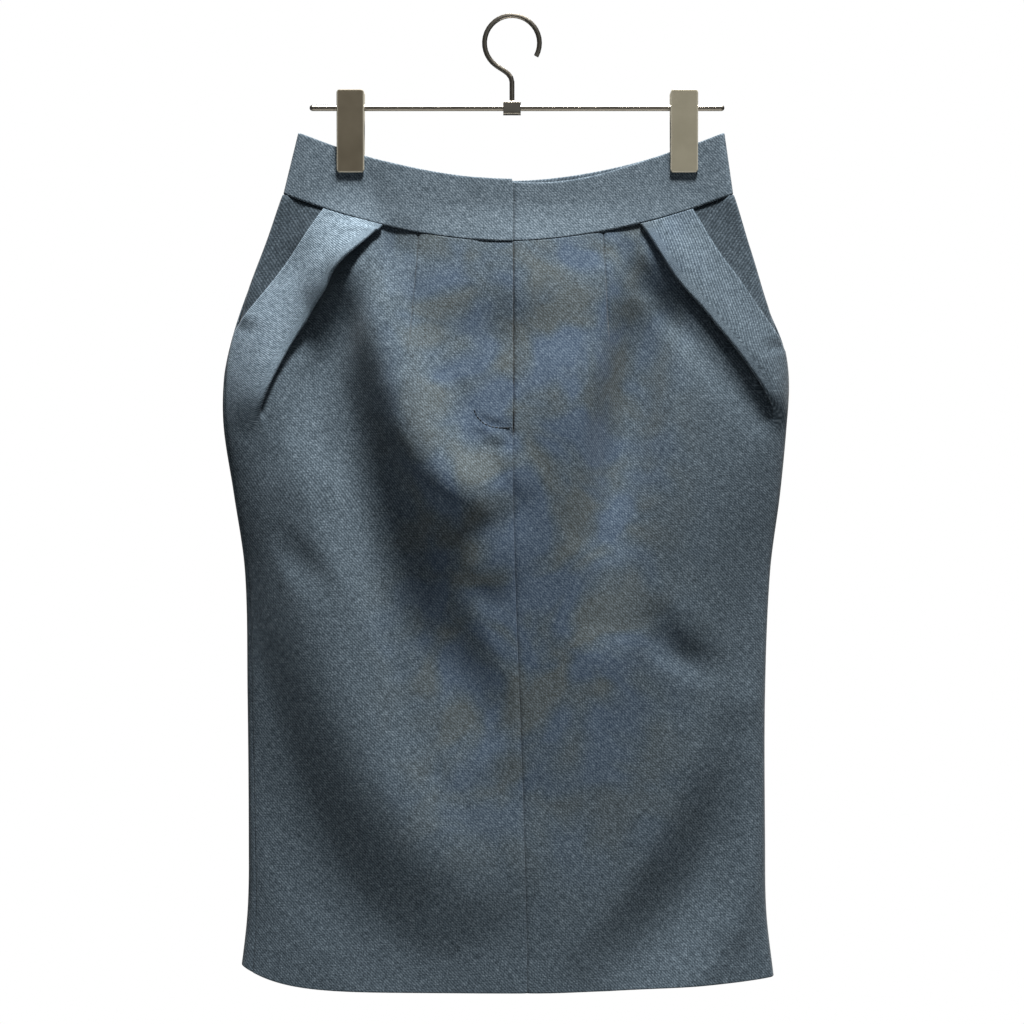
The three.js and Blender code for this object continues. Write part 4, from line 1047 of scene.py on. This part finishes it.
stitches = bpy.context.object
stitches.name = "fly_stitches"
stitches.data.materials.append(polyester_thread())
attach(stitches, "root")
print(len(beads), "stitches")

# %% [markdown]
# ## The hanger
# The clips are sheet steel with a satin taupe lacquer, and the bar and hook are bright drawn wire.
# Each clip's plate has a painted highlight along its sides and lower end, and the left clip's
# lacquer is darker, as painted shade. The solids have the right shapes, so they stay and get these
# finishes.


# %% Lacquer and wire
CLIP_BOTTOM = -124.1
CLIP_HALF = 11
EDGE_HIGHLIGHT = 1.5


def painted_edge_highlight(material, place, plate_x):
    """1 along the sides and the lower end of a clip's plate, where a highlight is painted, and 0
    inside them.
    """
    split = node(material, "ShaderNodeSeparateXYZ", {"Vector": place}).outputs
    across = calc(material, "ABSOLUTE", calc(material, "SUBTRACT", split["X"], plate_x * MM))
    ends = (
        (across, CLIP_HALF - EDGE_HIGHLIGHT, CLIP_HALF),
        (split["Z"], CLIP_BOTTOM + EDGE_HIGHLIGHT, CLIP_BOTTOM),
    )
    shares = [
        stretch(material, value, low * MM, high * MM, step="SMOOTHSTEP")
        for value, low, high in ends
    ]
    return calc(material, "MAXIMUM", *shares)


def satin_metal(name, colour, light_colour, metallic, roughness, grain_mm, plate_x=None):
    material = new_material(name)
    place = coordinates(material, "Object")
    grain = noise(material, place, 1 / (grain_mm * MM), 3.0).outputs[0]
    smudge = noise(material, place, 60.0, 3.0).outputs[0]
    mixed = blend(material, smudge, linear(colour), linear(light_colour))
    if plate_x is not None:
        # A painted highlight along the plate's bevelled sides and lower end.
        mixed = blend(material, painted_edge_highlight(material, place, plate_x), mixed, linear("#d8d2c0"))
    sockets = {
        "Base Color": mixed,
        "Metallic": metallic,
        "Roughness": stretch(material, smudge, 0.0, 1.0, roughness - 0.07, roughness + 0.1),
        "Normal": relief(material, grain, 0.12, 0.05),
    }
    return finish_material(material, sockets)


lacquer = satin_metal("satin_lacquered_steel", "#9a9480", "#b0aa96", 0.35, 0.42, 0.6, CLIP_X[1])
# The left clip's lacquer is a darker copy, as painted shade.
shaded_lacquer = satin_metal(
    "satin_lacquered_steel_painted_shade", "#665e4e", "#7c7463", 0.35, 0.42, 0.6, CLIP_X[0]
)
wire = satin_metal("drawn_steel_wire", "#8d877b", "#a7a196", 1.0, 0.3, 0.4)
for name, cad_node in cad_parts.items():
    if name.startswith(("clip", "hanger")):
        cad_node.data.materials.clear()
        finish = lacquer if name.startswith("clip_right") else shaded_lacquer
        cad_node.data.materials.append(finish if name.startswith("clip") else wire)
print("finished the hanger's solids")

# %% [markdown]
# ## Light and floor
# A soft light high above and a little in front makes the swags show: what faces up is light, and
# what faces down is dark. A weak light fills in from the front, and one behind lights the back.
# The camera sees a white room, but the room gives little light, or the folds would look flat.

# %% Stage and lights
FLOOR_DROP = 1.6
FLOOR_RADIUS = 1.0


def plain_white(name, colour):
    material = new_material(name)
    cloud = noise(material, coordinates(material, "Object"), 2.0).outputs[0]
    rough = stretch(material, cloud, 0.0, 1.0, 0.85, 0.9)
    return finish_material(material, {"Base Color": linear(colour), "Roughness": rough})


bpy.ops.object.select_all(action="DESELECT")
bpy.ops.mesh.primitive_circle_add(
    vertices=128, radius=FLOOR_RADIUS, fill_type="NGON", location=(0, 0, -FLOOR_DROP)
)
floor = bpy.context.object
floor.name = "floor"
floor.data.materials.append(plain_white("matt_white_floor", "#dcdbd8"))

ROOM_SEEN = {"Color": (1, 1, 1, 1), "Strength": 1.0}
ROOM_LIGHT = {"Color": (0.93, 0.96, 1, 1), "Strength": 0.07}
world = bpy.data.worlds.new("room")
bpy.context.scene.world = world
world.use_nodes = True
world.node_tree.nodes.clear()
is_seen = node(world, "ShaderNodeLightPath").outputs["Is Camera Ray"]
room = [node(world, "ShaderNodeBackground", look).outputs[0] for look in (ROOM_LIGHT, ROOM_SEEN)]
either = node(world, "ShaderNodeMixShader", {0: is_seen, 1: room[0], 2: room[1]}).outputs[0]
node(world, "ShaderNodeOutputWorld", {"Surface": either})


def soft_light(name, place, towards, width, height, watts, colour):
    light = bpy.data.lights.new(name, "AREA")
    light.shape = "RECTANGLE"
    light.size, light.size_y = width, height
    light.energy = watts
    light.color = colour
    lamp = bpy.data.objects.new(name, light)
    bpy.context.scene.collection.objects.link(lamp)
    lamp.location = place
    lamp.rotation_euler = (Vector(towards) - Vector(place)).to_track_quat("-Z", "Y").to_euler()
    lamp.visible_camera = False


soft_light("key_above", (0.5, -1.1, 3.6), (0, 0, -0.4), 1.0, 0.6, 460, (1, 0.98, 0.95))
soft_light("fill_front", (0.7, -2.7, -0.1), (0, 0, -0.4), 2.0, 1.6, 2, (0.9, 0.95, 1))
soft_light("back_above", (0.2, 0.8, 0.9), (0, 0, -0.4), 0.8, 0.6, 34, (1, 1, 1))
bpy.context.scene.view_settings.view_transform = "Standard"
